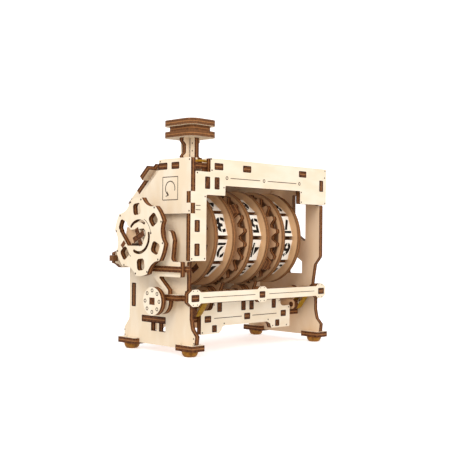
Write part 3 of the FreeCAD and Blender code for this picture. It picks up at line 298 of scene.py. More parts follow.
def wood_face(paint, point, grain, seed):
    """Birch face colour with the grain running along one direction."""
    along = [1.0, 1.0, 1.0]
    along[grain] = 0.045
    fine = paint.noise(point, 2.6, 4.0, 0.65, along, (seed, seed * 0.7, 3.1))
    broad = paint.noise(point, 0.16, 2.0, 0.5, [0.4 if a < 1 else 1.0 for a in along],
                        (seed * 1.3, 2.0, seed))
    base = paint.mix(broad.step(0.3, 0.7), CREAM_PALE, CREAM_WARM)
    streak = fine.step(0.55, 0.80) * 0.22
    return paint.mix(streak, base, GRAIN_BROWN), fine


def wood_edge(paint, point, depth, seed, warm=0.0):
    """Laser-burnt edge colour with the sheet's plies; depth counts 0 to 1 through the sheet."""
    soot_and_shadow = paint.noise(point, 0.9, 3.0, 0.6, (1, 1, 1), (seed, 5.0, 1.7))
    base = paint.mix(soot_and_shadow.step(0.32, 0.68), BURNT_DARK, BURNT_MID)
    base = paint.mix(warm, base, EDGE_TAN)
    if depth is None:
        return base
    wobble = depth + (soot_and_shadow - 0.5) * 0.05
    first, second = (abs(wobble - line).step(0.02, 0.06) for line in GLUE_LINES)
    glue = 1.0 - first * second
    middle = (1.0 - abs(wobble - 0.5).step(0.10, 0.15)) * (0.25 + soot_and_shadow * 0.5)
    lit = paint.mix(middle, base, BURNT_LIGHT)
    lines = paint.mix(glue * (0.75 - warm * 0.55), lit, BURNT_DARK)
    corner = 1.0 - depth.step(0.02, 0.16) * (1.0 - depth).step(0.02, 0.16)
    return paint.mix(corner * warm, lines, BURNT_MID)


def wood_surface(paint, colour, fine, facing=None):
    """Colour and roughness of a wood, and a fine relief of its grain on the faces."""
    paint.colour(colour)
    paint.rough(0.52 + fine * 0.2)
    if facing is not None:
        paint.bump(fine * facing, 0.03, 0.5)


def plywood(name, axis, start=None, seed=0.0, shade_share=0.0, rim=None, warm=0.0, soot_and_shadow=0.0):
    """Plywood for a sheet whose thickness runs along an axis from a start.

    The share of tan is painted shade, a warm darker tone for sheets that lie in shade inside the
    frame or turned from the lamps; rim is the radius about the axle beyond which a disc's face
    darkens;
    warm is how much lighter the burnt edges are; the last argument is the share of painted
    shadow, dark brown, that the gear casts on a disc's face inside the gear's outline.
    """
    paint = Paint(name)
    point = paint.point()
    normal = paint.parts(paint.coords.outputs["Normal"])
    face, fine = wood_face(paint, point, {0: 2, 1: 0, 2: 0}[axis], seed)
    # Painted shade: the sheet's share of the warm tan tone.
    face = paint.mix(shade_share, face, SHADE_TAN)
    spot = paint.parts(point)
    if rim is not None:
        radius = paint.distance(spot[1] - AXLE_Y, spot[2] - AXLE_Z)
        # Painted shadow of the gear, dark brown, on the disc's face inside the gear's outline;
        # the face is also darker towards its rim.
        covered = 1.0 - radius.step(GEAR_SHADE - 1.2, GEAR_SHADE)
        face = paint.mix(covered * soot_and_shadow, face, BURNT_DARK)
        face = paint.mix(radius.step(rim, rim + 1.4) * 0.6, face, BURNT_MID)
    depth = None
    if start is not None:
        depth = ((spot[axis] - start) / PLY).fraction()
    edge = wood_edge(paint, point, depth, seed, warm)
    facing = normal[axis].squarely()
    wood_surface(paint, paint.mix(facing, edge, face), fine, facing)
    return paint.material


def finish_node(node, material):
    """Give every slot of a CAD node one material."""
    for slot in nodes[node].material_slots:
        slot.material = material


def lowest(node, axis):
    """The lowest drawing coordinate of a CAD node along an axis, in mm."""
    origin = (ORIGIN_X, ORIGIN_Y, 0.0)[axis]
    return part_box(node)[0][axis] / MM + origin


# Nodes of one sheet or one stack of sheets by the direction of their thickness.
SHEETS = {
    0: ("left_cover", "left_panel", "right_panel", "hand_wheel", "wheel_hub", "ratchet_wheel",
        "drum1_left_disc", "drum1_right_disc", "drum1_carry_disc", "drum2_gear",
        "drum2_left_disc", "drum2_right_disc", "drum2_carry_disc", "drum3_gear",
        "drum3_left_disc", "drum3_right_disc", "transfer_pinion1", "transfer_pinion2",
        "stem_side_plate", "feed_pawl", "dial", "release_lever", "right_boss"),
    1: ("front_frame", "rear_plate", "lower_front_plate", "rear_ear", "front_bar",
        "stem_front_plate"),
    2: ("top_plate", "shelf", "foot_plates", "side_arms", "centre_arm", "thumb_strip",
        "button_bottom_layer", "button_middle_layer", "button_top_layer"),
}
# Nodes of several sheets side by side.
SPREAD = ("pinion_ribs", "shelf_braces", "stem_guides", "shelf_hooks", "bar_hooks",
          "axle_spacers", "pivot_collars")
# Painted shade: sheets that lie in shade, inside the frame or turned from the lamps, with their
# share of the warm tan tone.
SHADE_SHARES = {"wheel_hub": 0.65, "top_plate": 0.2, "reading_face": 0.25, "rear_plate": 0.2,
         "shelf": 0.7, "axle_spacers": 0.8, "ratchet_wheel": 0.6, "pinion_ribs": 0.6,
         "drum1_carry_disc": 0.95, "drum2_carry_disc": 0.95, "drum2_gear": 0.7,
         "drum3_gear": 0.7, "transfer_pinion1": 0.8, "transfer_pinion2": 0.8,
         "pivot_collars": 0.7, "shelf_hooks": 0.8, "bar_hooks": 0.7, "shelf_braces": 0.6,
         "right_panel": 0.45, "left_panel": 0.10, "left_cover": 0.04, "stem_front_plate": 0.2}
# Drum discs: their share of painted shade tone, the radius beyond which their faces darken, and
# how much lighter their edges are.
DISC_SHADE_SHARE = 0.78
DISC_RIM = 25.2
DISC_EDGE = 0.22
# Discs behind the toothed wheels, with the share of painted shadow that the gear casts on them,
# and the radius where it ends.
GEAR_SHADE = 24.2
GEAR_SHADOWED = {"drum2_left_disc": 0.85, "drum3_left_disc": 0.85}
# Sheets with lighter edges, and the step between the seeds of two sheets' grain.
WARM_EDGES = {"button_bottom_layer": 0.12, "button_middle_layer": 0.12, "button_top_layer": 0.12}
SEED_STEP = 7.3


def finish_sheets():
    """Plywood on every sheet that stands square to the frame."""
    seed = 0.0
    for axis, group in SHEETS.items():
        for node in group:
            seed += SEED_STEP
            disc = node.startswith("drum") and node.endswith(("left_disc", "right_disc"))
            # Each sheet's share of painted shade tone.
            shade_share = DISC_SHADE_SHARE if disc else SHADE_SHARES.get(node, 0.0)
            rim = DISC_RIM if disc else None
            warm = WARM_EDGES.get(node, DISC_EDGE if disc else 0.0)
            made = plywood("ply_" + node, axis, lowest(node, axis), seed, shade_share, rim, warm,
                           GEAR_SHADOWED.get(node, 0.0))
            finish_node(node, made)
    # Sheets side by side, with their share of painted shade tone.
    for node in SPREAD:
        seed += SEED_STEP
        finish_node(node, plywood("ply_" + node, 0, None, seed, SHADE_SHARES.get(node, 0.0)))


def stick_wood(name, axis, seed):
    """Wood of a long stick: ends burnt, long sides pale."""
    paint = Paint(name)
    point = paint.point()
    normal = paint.parts(paint.coords.outputs["Normal"])
    face, fine = wood_face(paint, point, axis, seed)
    ends = normal[axis].squarely()
    wood_surface(paint, paint.mix(ends, face, wood_edge(paint, point, None, seed)), fine)
    return paint.material


def finish_sticks():
    """Axle strips, pivots and pins run along x; the ear's key is burnt all round."""
    for node in ("axle_strips", "bar_pivots", "pinion_shafts", "shelf_pegs", "bar_pegs",
                 "pawl_pin"):
        finish_node(node, stick_wood("stick_" + node, 0, 3.0))
    burnt = Paint("burnt_key")
    burnt.colour(wood_edge(burnt, burnt.point(), None, 5.0, 0.15))
    finish_node("ear_key", burnt.material)


def slope_wood():
    """The sloping reading face, whose thickness runs at an angle in the y, z plane."""
    paint = Paint("ply_reading_face")
    point = paint.point()
    turn = paint.node("ShaderNodeVectorRotate", {"rotation_type": "X_AXIS"}, {
        "Vector": paint.coords.outputs["Normal"], "Angle": SLOPE_TILT})
    facing = paint.parts(turn.outputs[0])[2].squarely()
    level = paint.node("ShaderNodeVectorRotate", {"rotation_type": "X_AXIS"}, {
        "Vector": point, "Center": (0, AXLE_Y, AXLE_Z), "Angle": SLOPE_TILT})
    depth = (paint.parts(level.outputs[0])[2] - (AXLE_Z + SLOPE_REACH)) / PLY
    seed = 4.4
    face, fine = wood_face(paint, point, 0, seed)
    # Painted shade: the reading face's share of the warm tan tone.
    face = paint.mix(SHADE_SHARES["reading_face"], face, SHADE_TAN)
    edge = wood_edge(paint, point, depth, seed)
    wood_surface(paint, paint.mix(facing, edge, face), fine, facing)
    finish_node("reading_face", paint.material)


def digit_plate_finish():
    """White coated outer faces, burnt ends and pale wood inside."""
    paint = Paint("digit_plate", 0.45)
    point = paint.point()
    x, y, z = paint.parts(point)
    along = y - AXLE_Y
    up = z - AXLE_Z
    radius = paint.distance(along, up)
    normal = paint.parts(paint.coords.outputs["Normal"])
    outward = (normal[1] * along + normal[2] * up) / radius.larger(1.0)
    grain = paint.noise(point, 3.0, 3.0, 0.6, (0.08, 1, 1))
    white = paint.mix(grain.step(0.35, 0.75), DIGIT_WHITE, DIGIT_CREAM)
    edge = wood_edge(paint, point, None, 2.0)
    paint.colour(paint.mix(outward.step(0.6, 0.8), edge, white))
    paint.rough(0.42 + grain * 0.15)
    for node in ("drum1_digit_plates", "drum2_digit_plates", "drum3_digit_plates"):
        finish_node(node, paint.material)


def burnt_black(name, colour, roughness=0.75):
    """The soot-dark fill of an engraved mark."""
    paint = Paint(name, roughness)
    soot_and_shadow = paint.noise(paint.point(), 3.0, 3.0, 0.6)
    lighter = tuple(c * 1.9 for c in colour)
    paint.colour(paint.mix(soot_and_shadow.step(0.4, 0.75), colour, lighter))
    paint.rough(0.65 + soot_and_shadow * 0.25)
    return paint.material


def rubber(name, deep, bright, roughness):
    """Translucent-looking amber rubber with faint mottling."""
    paint = Paint(name, roughness)
    cloud = paint.noise(paint.point(), 0.55, 3.0, 0.6)
    dust = paint.noise(paint.point(), 6.0, 2.0, 0.5)
    paint.colour(paint.mix(cloud.step(0.3, 0.7), deep, bright))
    paint.rough(roughness - 0.08 + dust * 0.2)
    paint.bump(dust, 0.04, 0.4)
    paint.shader.inputs["Subsurface Weight"].default_value = 0.15
    paint.shader.inputs["Subsurface Scale"].default_value = 0.002
    return paint.material


def piece(name, bm, material, body, smooth=None):
    """A finished piece from a bmesh in drawing mm, riding on a body."""
    bmesh.ops.remove_doubles(bm, verts=bm.verts, dist=0.0005)
    bmesh.ops.recalc_face_normals(bm, faces=bm.faces)
    bmesh.ops.translate(bm, verts=bm.verts, vec=(-ORIGIN_X, -ORIGIN_Y, 0))
    bmesh.ops.scale(bm, verts=bm.verts, vec=(MM, MM, MM))
    mesh = bpy.data.meshes.new(name)
    bm.to_mesh(mesh)
    bm.free()
    mesh.materials.append(material)
    made = bpy.data.objects.new(name, mesh)
    bpy.context.scene.collection.objects.link(made)
    if smooth is not None:
        for polygon in mesh.polygons:
            polygon.use_smooth = True
        mesh.set_sharp_from_angle(angle=math.radians(smooth))
    if body:
        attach(made, body)
    return made


def mark_dot(bm, spot, outward, radius):
    """A small burnt dot: a thin disc that stands proud by the mark's height."""
    turn = Vector(outward).to_track_quat("Z", "Y").to_matrix().to_4x4()
    centre = Vector(spot) + Vector(outward).normalized() * (MARK / 2)
    bmesh.ops.create_cone(bm, cap_ends=True, segments=12, radius1=radius, radius2=radius,
                          depth=MARK, matrix=Matrix.Translation(centre) @ turn)


def mark_line(bm, start, end, outward, width):
    """A thin straight engraved line."""
    start = Vector(start)
    end = Vector(end)
    out = Vector(outward).normalized()
    along = (end - start).normalized()
    across = out.cross(along)
    grid = Matrix((along, across, out)).transposed().to_4x4()
    size = Matrix.Diagonal(((end - start).length, width, MARK, 1.0))
    middle = (start + end) / 2 + out * (MARK / 2)
    bmesh.ops.create_cube(bm, size=1.0, matrix=Matrix.Translation(middle) @ grid @ size)


def mark_box(bm, box, axis, level, width):
    """Lines along the sides of a box in a face across x or y, given by its two corners."""
    a0, z0, a1, z1 = box
    corners = []
    for a, z in ((a0, z0), (a1, z0), (a1, z1), (a0, z1)):
        corners.append((level, a, z) if axis == 0 else (a, level, z))
    for start, end in zip(corners, corners[1:] + corners[:1]):
        mark_line(bm, start, end, TO_LEFT if axis == 0 else TO_FRONT, width)


def mark_arc(bm, centre, outward, first, sweep, width, steps):
    """A thin curved line: first is the arm from the centre to its start."""
    out = Vector(outward).normalized()
    arm = Vector(first)
    radial = arm.normalized()
    middle = Vector(centre) + arm
    corners = []
    for across, up in ((-0.5, 0.0), (0.5, 0.0), (0.5, 1.0), (-0.5, 1.0)):
        corners.append(bm.verts.new(middle + radial * (width * across) + out * (MARK * up)))
    face = bm.faces.new(corners)
    full = abs(sweep) > 359.9
    bmesh.ops.spin(bm, geom=[face, *face.edges, *face.verts], cent=Vector(centre), axis=out,
                   angle=math.radians(sweep), steps=steps, use_merge=full)
    if full:
        bmesh.ops.delete(bm, geom=[face], context="FACES_ONLY")


# Stencil digits: boxes cut through each glyph, in shares of its width and height.
GAP = 0.055
LEFT = 0.5 - GAP
RIGHT = 0.5 + GAP
MIDDLE = (LEFT, RIGHT, -0.1, 1.1)
FOOT_CUT = (LEFT, RIGHT, -0.1, 0.3)
HEAD_CUT = (LEFT, RIGHT, 0.7, 1.1)
STENCIL = {
    0: (MIDDLE,),
    1: (),
    2: ((LEFT, RIGHT, 0.6, 1.1), (-0.1, 1.1, 0.165, 0.235)),
    3: ((LEFT, RIGHT, 0.75, 1.1), FOOT_CUT),
    4: ((0.56, 0.66, -0.1, 1.1),),
    5: ((0.42, 0.52, 0.5, 0.78), (0.45, 0.55, -0.1, 0.3)),
    6: (HEAD_CUT, FOOT_CUT),
    7: ((-0.1, 1.1, 0.765, 0.83),),
    8: (MIDDLE,),
    9: (HEAD_CUT, FOOT_CUT),
}
GLYPH_WIDTH = 5.9
GLYPH_HEIGHT = 8.3
GLYPH_SHIFT = 1.9
GLYPH_SWELL = 0.30
NARROW = 0.5


def flat_digit(number):
    """A digit as a filled flat outline from the origin, 1 wide and 1 high."""
    curve = bpy.data.curves.new("glyph", "FONT")
    curve.body = str(number)
    curve.size = 10.0
    curve.offset = GLYPH_SWELL
    curve.resolution_u = 4
    holder = bpy.data.objects.new("glyph", curve)
    bpy.context.scene.collection.objects.link(holder)
    bpy.context.view_layer.update()
    bm = bmesh.new()
    bm.from_mesh(holder.to_mesh())
    holder.to_mesh_clear()
    bpy.data.objects.remove(holder)
    bpy.data.curves.remove(curve)
    bmesh.ops.remove_doubles(bm, verts=bm.verts, dist=0.001)
    low = Vector([min(v.co[i] for v in bm.verts) for i in range(3)])
    high = Vector([max(v.co[i] for v in bm.verts) for i in range(3)])
    bmesh.ops.translate(bm, verts=bm.verts, vec=-low)
    bmesh.ops.scale(bm, verts=bm.verts, vec=(1 / (high.x - low.x), 1 / (high.y - low.y), 1))
    return bm


def cut_bridges(bm, boxes):
    """Take out a stencil's bridges, each a box of x0, x1, y0 and y1."""
    for x0, x1, y0, y1 in boxes:
        for spot, side in (((x0, 0, 0), (1, 0, 0)), ((x1, 0, 0), (1, 0, 0)),
                           ((0, y0, 0), (0, 1, 0)), ((0, y1, 0), (0, 1, 0))):
            bmesh.ops.bisect_plane(bm, geom=[*bm.verts, *bm.edges, *bm.faces], dist=1e-5,
                                   plane_co=spot, plane_no=side)
        gone = []
        for face in bm.faces:
            middle = face.calc_center_median()
            if x0 < middle.x < x1 and y0 < middle.y < y1:
                gone.append(face)
        bmesh.ops.delete(bm, geom=gone, context="FACES")


def glyph(number):
    """One stencil digit as a thin solid about the origin, its face up, in mm."""
    bm = flat_digit(number)
    cut_bridges(bm, STENCIL[number])
    wide = NARROW if number == 1 else 1.0
    bmesh.ops.translate(bm, verts=bm.verts, vec=(-0.5, -0.5, 0))
    bmesh.ops.scale(bm, verts=bm.verts, vec=(GLYPH_WIDTH * wide, GLYPH_HEIGHT, 1))
    raised = bmesh.ops.extrude_face_region(bm, geom=bm.faces[:])
    moved = [v for v in raised["geom"] if isinstance(v, bmesh.types.BMVert)]
    bmesh.ops.translate(bm, verts=moved, vec=(0, 0, MARK))
    mesh = bpy.data.meshes.new("glyph")
    bm.to_mesh(mesh)
    bm.free()
    return mesh


def drum_digits(k, glyphs, material):
    """The ten digits of one drum, each lying on its facet."""
    bm = bmesh.new()
    x = DRUM_LEFT[k] + PLY + DIGIT_WIDTH / 2 + GLYPH_SHIFT
    # The glyph's right points to lower x, its top points downwards and its face to the front.
    lie = Matrix(((-1, 0, 0), (0, 0, -1), (0, -1, 0))).to_4x4()
    rise = Matrix.Translation((x, -DIGIT_FACE_RADIUS, 0))
    for facet in range(DIGIT_COUNT):
        number = (DRUM_FIRST_DIGIT[k] + facet) % DIGIT_COUNT
        turn = Matrix.Rotation(-FACET * (facet + 0.5), 4, "X")
        mesh = glyphs[number].copy()
        mesh.transform(Matrix.Translation((0, AXLE_Y, AXLE_Z)) @ turn @ rise @ lie)
        bm.from_mesh(mesh)
        bpy.data.meshes.remove(mesh)
    piece("drum%d_digits" % (k + 1), bm, material, DRUM_BODY[k])


def wheel_spot(radius, degrees):
    """A point on the hand wheel's outer face; degrees from the top towards the front."""
    a = math.radians(degrees)
    return (WHEEL_X, AXLE_Y - radius * math.sin(a), AXLE_Z + radius * math.cos(a))


def wheel_marks(material):
    """Dots at the lobes' corners, two fine arcs and the end of one."""
    bm = bmesh.new()
    for degrees in (4.5, 39.5, 66.5, 99.5, 126.5, 159, 187, 219, 246.5, 278.5, 305, 338.5):
        mark_dot(bm, wheel_spot(WHEEL_DOT_RADIUS, degrees), TO_LEFT, 0.5)
    centre = (WHEEL_X, AXLE_Y, AXLE_Z)
    for radius, start, end in ((9.7, 25, 78), (11.9, 211, 229)):
        arm = Vector(wheel_spot(radius, start)) - Vector(centre)
        mark_arc(bm, centre, TO_LEFT, arm, start - end, 0.3, 16)
    mark_dot(bm, wheel_spot(9.7, 79), TO_LEFT, 0.55)
    piece("hand_wheel_marks", bm, material, "drive_train")


def wheel_slot(material):
    """The short slot between the window and the lobes, drawn as a dark strip: painted shade for
    the slot's shadowed depth, with the brown of its burnt cut edges.
    """
    bm = bmesh.new()
    mark_line(bm, wheel_spot(14.9, 249), wheel_spot(11.6, 256.5), TO_LEFT, 2.4)
    piece("hand_wheel_slot", bm, material, "drive_train")


def hub_burn(material):
    """A dark brown strip on the hub's face along the lower edge of the window."""
    bm = bmesh.new()
    x = WHEEL_X + PLY
    z = AXLE_Z - 4.0
    mark_line(bm, (x, AXLE_Y + 9.2, z), (x, AXLE_Y - 2.6, z), TO_LEFT, 1.2)
    piece("hub_burn", bm, material, "drive_train")


def dial_marks(material):
    """A ring of eight small circles round the dial's key."""
    bm = bmesh.new()
    for i in range(DIAL_CIRCLES):
        a = 2 * math.pi * i / DIAL_CIRCLES
        spot = (DIAL_X, PIVOT_Y + DIAL_RING_RADIUS * math.sin(a),
                PIVOT_Z + DIAL_RING_RADIUS * math.cos(a))
        mark_arc(bm, spot, TO_LEFT, (0, DIAL_CIRCLE_RADIUS, 0), 360, RING_LINE, 16)
    piece("dial_marks", bm, material, "front_bar")


# Ends of tabs and tenons that come through a plate, as its lowest and highest corners.
FRONT_TENONS = ((16.3, 94.0, 22.0, 97.0), (37.0, 94.0, 42.7, 97.0), (82.0, 94.0, 87.9, 97.0),
                (9.85, 84.1, 12.85, 89.8), (16.45, 84.1, 19.45, 89.8), (3.0, 62.4, 6.0, 67.9),
                (3.0, 50.5, 6.0, 56.2), (100.1, 86.7, 103.1, 92.6))
COVER_TENONS = ((9.0, 94.0, 14.3, 97.0), (18.0, 94.0, 24.4, 97.0))
PANEL_TENONS = ((46.0, 22.8, 49.0, 34.8), (21.6, 15.3, 40.4, 18.3))
LOWER_TENONS = ((22.3, 15.3, 26.5, 18.3), (51.9, 15.3, 56.1, 18.3), (81.8, 15.3, 85.8, 18.3),
                (27.7, 10.0, 30.7, 13.2), (77.2, 10.0, 80.2, 13.2), (31.4, 20.4, 34.4, 25.1),
                (49.5, 20.4, 52.5, 25.1), (55.9, 20.4, 58.9, 25.1), (74.1, 20.4, 77.1, 25.1))
BAR_TENONS = ((1.4, 27.8, 6.2, 30.8), (50.5, 27.8, 54.5, 30.8), (99.8, 27.8, 104.6, 30.8))
SCORCH = 0.5
# The engraved rectangle by its corners, and the arrow in it in mm and degrees.
ARROW_BOX = (9.7, 78.3, 21.2, 89.9)
ARROW_RADIUS = 3.6
ARROW_START = 200
ARROW_SWEEP = 270
ARROW_BARB = 2.2
ARROW_LEAN = 35


def scorched_rims(name, boxes, axis, level, material, body):
    """Dark scorched lines round the tenon ends that show in one face."""
    bm = bmesh.new()
    for box in boxes:
        mark_box(bm, box, axis, level, SCORCH)
    piece(name, bm, material, body)


def tenon_rims(material):
    """Scorched lines on the front frame, the cover, the left panel and the lower plate."""
    scorched_rims("front_tenon_rims", FRONT_TENONS, 1, 0.0, material, "frame")
    scorched_rims("cover_tenon_rims", COVER_TENONS, 0, 0.0, material, "frame")
    scorched_rims("panel_tenon_rims", PANEL_TENONS, 0, PLY, material, "frame")
    scorched_rims("lower_tenon_rims", LOWER_TENONS, 1, LOWER_FACE_Y, material, "frame")
    scorched_rims("bar_tenon_rims", BAR_TENONS, 1, 0.0, material, "front_bar")


def arrow_arm(degrees):
    """The arm from the arrow's centre to its curve; degrees from the rear upwards."""
    a = math.radians(degrees)
    return Vector((0, ARROW_RADIUS * math.cos(a), ARROW_RADIUS * math.sin(a)))


def cover_marks(material):
    """The cover's engraved rectangle round a curved arrow, and its dots."""
    bm = bmesh.new()
    mark_box(bm, ARROW_BOX, 0, COVER_FACE_X, 0.4)
    y0, z0, y1, z1 = ARROW_BOX
    centre = Vector((COVER_FACE_X, (y0 + y1) / 2, (z0 + z1) / 2))
    mark_arc(bm, centre, TO_LEFT, arrow_arm(ARROW_START), ARROW_SWEEP, 0.5, 24)
    end = ARROW_START - ARROW_SWEEP
    tip = centre + arrow_arm(end)
    along = arrow_arm(end - 90).normalized()
    for lean in (-ARROW_LEAN, ARROW_LEAN):
        back = Matrix.Rotation(math.radians(lean), 3, "X") @ along
        mark_line(bm, tip, tip - back * ARROW_BARB, TO_LEFT, 0.45)
    for y, z in ((1.2, 72.6), (38.3, 72.6), (38.3, 79.6), (23.4, 98.0), (1.2, 98.0)):
        mark_dot(bm, (COVER_FACE_X, y, z), TO_LEFT, DOT)
    piece("cover_marks", bm, material, "frame")


def front_marks(material):
    """Fine line, circles and dots on the front frame."""
    bm = bmesh.new()
    for x0, x1 in ((27.6, 50.0), (55.9, 79.6)):
        mark_line(bm, (x0, 0, 90.0), (x1, 0, 90.0), TO_FRONT, FINE_LINE)
    for x in (25.0, 53.0, 82.2):
        mark_arc(bm, (x, 0, 90.0), TO_FRONT, (RING_RADIUS, 0, 0), 360, RING_LINE, 16)
    for x, z in ((4.3, 91.6), (13.8, 99.0), (1.0, 48.9), (9.7, 48.9), (9.7, 79.9), (22.9, 85.0),
                 (84.0, 79.8), (105.0, 79.8), (105.0, 98.5), (83.9, 85.3), (14.3, 93.4),
                 (104.6, 94.5)):
        mark_dot(bm, (x, 0, z), TO_FRONT, DOT)
    for z in (75.4, 73.2):
        mark_line(bm, (3.4, 0, z), (6.6, 0, z), TO_FRONT, FINE_LINE)
    piece("front_frame_marks", bm, material, "frame")


def foot_marks(material):
    """Short scorched notches on the foot plates and dots low on the left panel."""
    bm = bmesh.new()
    for y0, y1 in ((-0.6, 0.8), (8.4, 9.6), (43.0, 44.0), (52.2, 53.4)):
        mark_line(bm, (2.6, y0, FOOT_TOP_Z), (2.6, y1, FOOT_TOP_Z), UPWARDS, 0.6)
    for y, z in ((55.0, 9.7), (54.8, 7.0), (0.2, 9.4), (0.0, 7.0)):
        mark_dot(bm, (PLY, y, z), TO_LEFT, 0.4)
    piece("foot_marks", bm, material, "frame")


def lower_marks(material):
    """Fine line and dots on the lower front plate."""
    bm = bmesh.new()
    for x0, x1 in ((29.0, 49.8), (58.2, 78.0)):
        mark_line(bm, (x0, LOWER_FACE_Y, 17.0), (x1, LOWER_FACE_Y, 17.0), TO_FRONT, FINE_LINE)
    for x, z in ((20.5, 20.4), (20.5, 10.0), (30.5, 10.0), (36.4, 13.9), (71.0, 13.9),
                 (86.6, 10.0), (88.3, 20.1), (80.2, 24.1), (28.8, 24.1), (74.8, 10.2)):
        mark_dot(bm, (x, LOWER_FACE_Y, z), TO_FRONT, DOT)
    piece("lower_plate_marks", bm, material, "frame")


def bar_marks(material):
    """The fine line along the front bar and dots on its nodes."""
    bm = bmesh.new()
    for x0, x1 in ((9.2, 47.0), (58.0, 96.2)):
        mark_line(bm, (x0, 0, 29.5), (x1, 0, 29.5), TO_FRONT, 0.3)
    for centre in (3.8, 52.5, 101.5):
        for dx in (-1.4, 1.4):
            for z in (26.0, 32.9):
                mark_dot(bm, (centre + dx, 0, z), TO_FRONT, 0.3)
    piece("front_bar_marks", bm, material, "front_bar")


def stem_marks(material):
    """Dots on the stem's long plate and the burnt seam where the cross plate meets it."""
    bm = bmesh.new()
    for z in (104.0, 107.9):
        mark_dot(bm, (STEM_FACE_X, 13.5, z), TO_LEFT, 0.4)
    mark_line(bm, (STEM_FACE_X, STEM_SEAM_Y, 99.8), (STEM_FACE_X, STEM_SEAM_Y, 110.6),
              TO_LEFT, 0.5)
    piece("stem_marks", bm, material, "button_stem")


def open_edges(found):
    """The edges among what an operator made."""
    return [e for e in found if isinstance(e, bmesh.types.BMEdge)]


def run_on(bm, edges, run, count):
    """Carry a section on in a straight line and return its new end."""
    for _ in range(count):
        grown = bmesh.ops.extrude_edge_only(bm, edges=edges)["geom"]
        moved = [v for v in grown if isinstance(v, bmesh.types.BMVert)]
        bmesh.ops.translate(bm, verts=moved, vec=Vector(run) / count)
        edges = [e for e in open_edges(grown) if all(v in moved for v in e.verts)]
    return edges


def turn_on(bm, edges, centre, axis, angle, steps):
    """Carry a section round a centre and return its new end."""
    spun = bmesh.ops.spin(bm, geom=edges, cent=centre, axis=axis, angle=angle, steps=steps)
    return open_edges(spun["geom_last"])


def bar_band(index, plate_x, material):
    """One band from its upper peg on the bar to its lower peg on the shelf."""
    x = plate_x + PLY + PLATE_GAP + BAND_HALF_WIDTH
    upper = Vector((x, *UPPER_PEG))
    lower = Vector((x, *LOWER_PEG))
    run = lower - upper
    along = run.normalized()
    out = Vector((1, 0, 0)).cross(along)
    bm = bmesh.new()
    # The section stands across the band's run: thin away from the pegs and wide along x.
    ring = bmesh.ops.create_circle(bm, segments=16, radius=1.0)["verts"]
    slim = (BAND_HALF_THICK - BAND_EASE, BAND_HALF_WIDTH - BAND_EASE, 1.0)
    bmesh.ops.scale(bm, verts=ring, vec=slim)
    stand = Matrix((out, Vector((1, 0, 0)), -along)).transposed().to_4x4()
    bmesh.ops.transform(bm, verts=ring, matrix=stand)
    bmesh.ops.translate(bm, verts=ring, vec=upper + out * BAND_MIDDLE)
    first = list(bm.edges)
    last = turn_on(bm, first, upper, (1, 0, 0), math.pi, 12)
    last = run_on(bm, last, run, 8)
    last = turn_on(bm, last, lower, (1, 0, 0), math.pi, 12)
    last = run_on(bm, last, -run * 7 / 8, 7)
    bmesh.ops.bridge_loops(bm, edges=last + first)
    made = piece("bar_band_%d" % index, bm, material, None, 60)
    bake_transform(made)
    return made


def button_band_half(side, material):
    """Half of the band round the guides' horns."""
    middle = HORN_MIDDLE_X
    rear = HORN_REAR_Y
    front = HORN_FRONT_Y
    z = HORN_BAND_Z
    corner = HORN_CORNER
    inner = side * (HORN_REACH - corner)
    bm = bmesh.new()
    ring = bmesh.ops.create_circle(bm, segments=12, radius=HORN_BAND_RADIUS)["verts"]
    bmesh.ops.rotate(bm, verts=ring, matrix=Matrix.Rotation(math.pi / 2, 3, "Y"))
    bmesh.ops.translate(bm, verts=ring, vec=(middle, rear, z))
    last = run_on(bm, list(bm.edges), (inner, 0, 0), 14)
    up = (0, 0, 1)
    last = turn_on(bm, last, (middle + inner, rear - corner, z), up, -side * math.pi / 2, 6)
    last = run_on(bm, last, (0, front - rear + 2 * corner, 0), 2)
    last = turn_on(bm, last, (middle + inner, front + corner, z), up, -side * math.pi / 2, 6)
    run_on(bm, last, (-inner, 0, 0), 3)
    name = "button_band_left" if side < 0 else "button_band_right"
    made = piece(name, bm, material, None, 60)
    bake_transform(made)
    return made


def turned(bm, profile, x, y, steps):
    """A profile of radius and height, turned about an upright line at x and y."""
    chain = [bm.verts.new((x + r, y, z)) for r, z in profile]
    edges = [bm.edges.new(pair) for pair in zip(chain, chain[1:])]
    bmesh.ops.spin(bm, geom=[*chain, *edges], cent=(x, y, 0), axis=(0, 0, 1),
                   angle=2 * math.pi, steps=steps, use_merge=True)


def bumpers(material):
    """Four domed rubber bumpers with a rounded lower edge."""
    profile = ((0.0, 0.0), (2.2, 0.0), (2.95, 0.18), (3.45, 0.62), (3.85, 1.35), (4.12, 2.2),
               (4.2, 2.75), (4.05, 3.0), (0.0, 3.0))
    for i in range(4):
        bm = bmesh.new()
        turned(bm, profile, FOOT_X[i % 2], FOOT_Y[i // 2], 40)
        foot = piece("bumper_%d" % (i + 1), bm, material, "frame", 40)
    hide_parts("rubber_feet")


def dress():
    """Every finish and every added piece."""
    finish_sheets()
    finish_sticks()
    slope_wood()
    digit_plate_finish()
    line = burnt_black("engraved_line", LINE_BROWN)
    ink = burnt_black("digit_black", INK_BLACK)
    amber = rubber("amber_rubber_band", *BAND_AMBER, 0.45)
    foot = rubber("bumper_rubber", *FOOT_AMBER, 0.4)
    glyphs = [glyph(number) for number in range(DIGIT_COUNT)]
    for k in range(len(DRUM_LEFT)):
        drum_digits(k, glyphs, ink)
    scorch = burnt_black("scorched_rim", SCORCH_BROWN)
    tenon_rims(scorch)
    wheel_marks(line)
    wheel_slot(burnt_black("slot_shade", SLOT_SHADE_BROWN))
    hub_burn(line)
    dial_marks(line)
    cover_marks(line)
    front_marks(line)
    lower_marks(line)
    foot_marks(line)
    bar_marks(line)
    stem_marks(line)
    for index, plate_x in enumerate(BAND_PLATES):
        band = bar_band(index + 1, plate_x, amber)
        if index == 0:
            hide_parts("bar_bands")
    halves = [button_band_half(side, amber) for side in (-1, 1)]
    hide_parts("button_band")
    bumpers(foot)


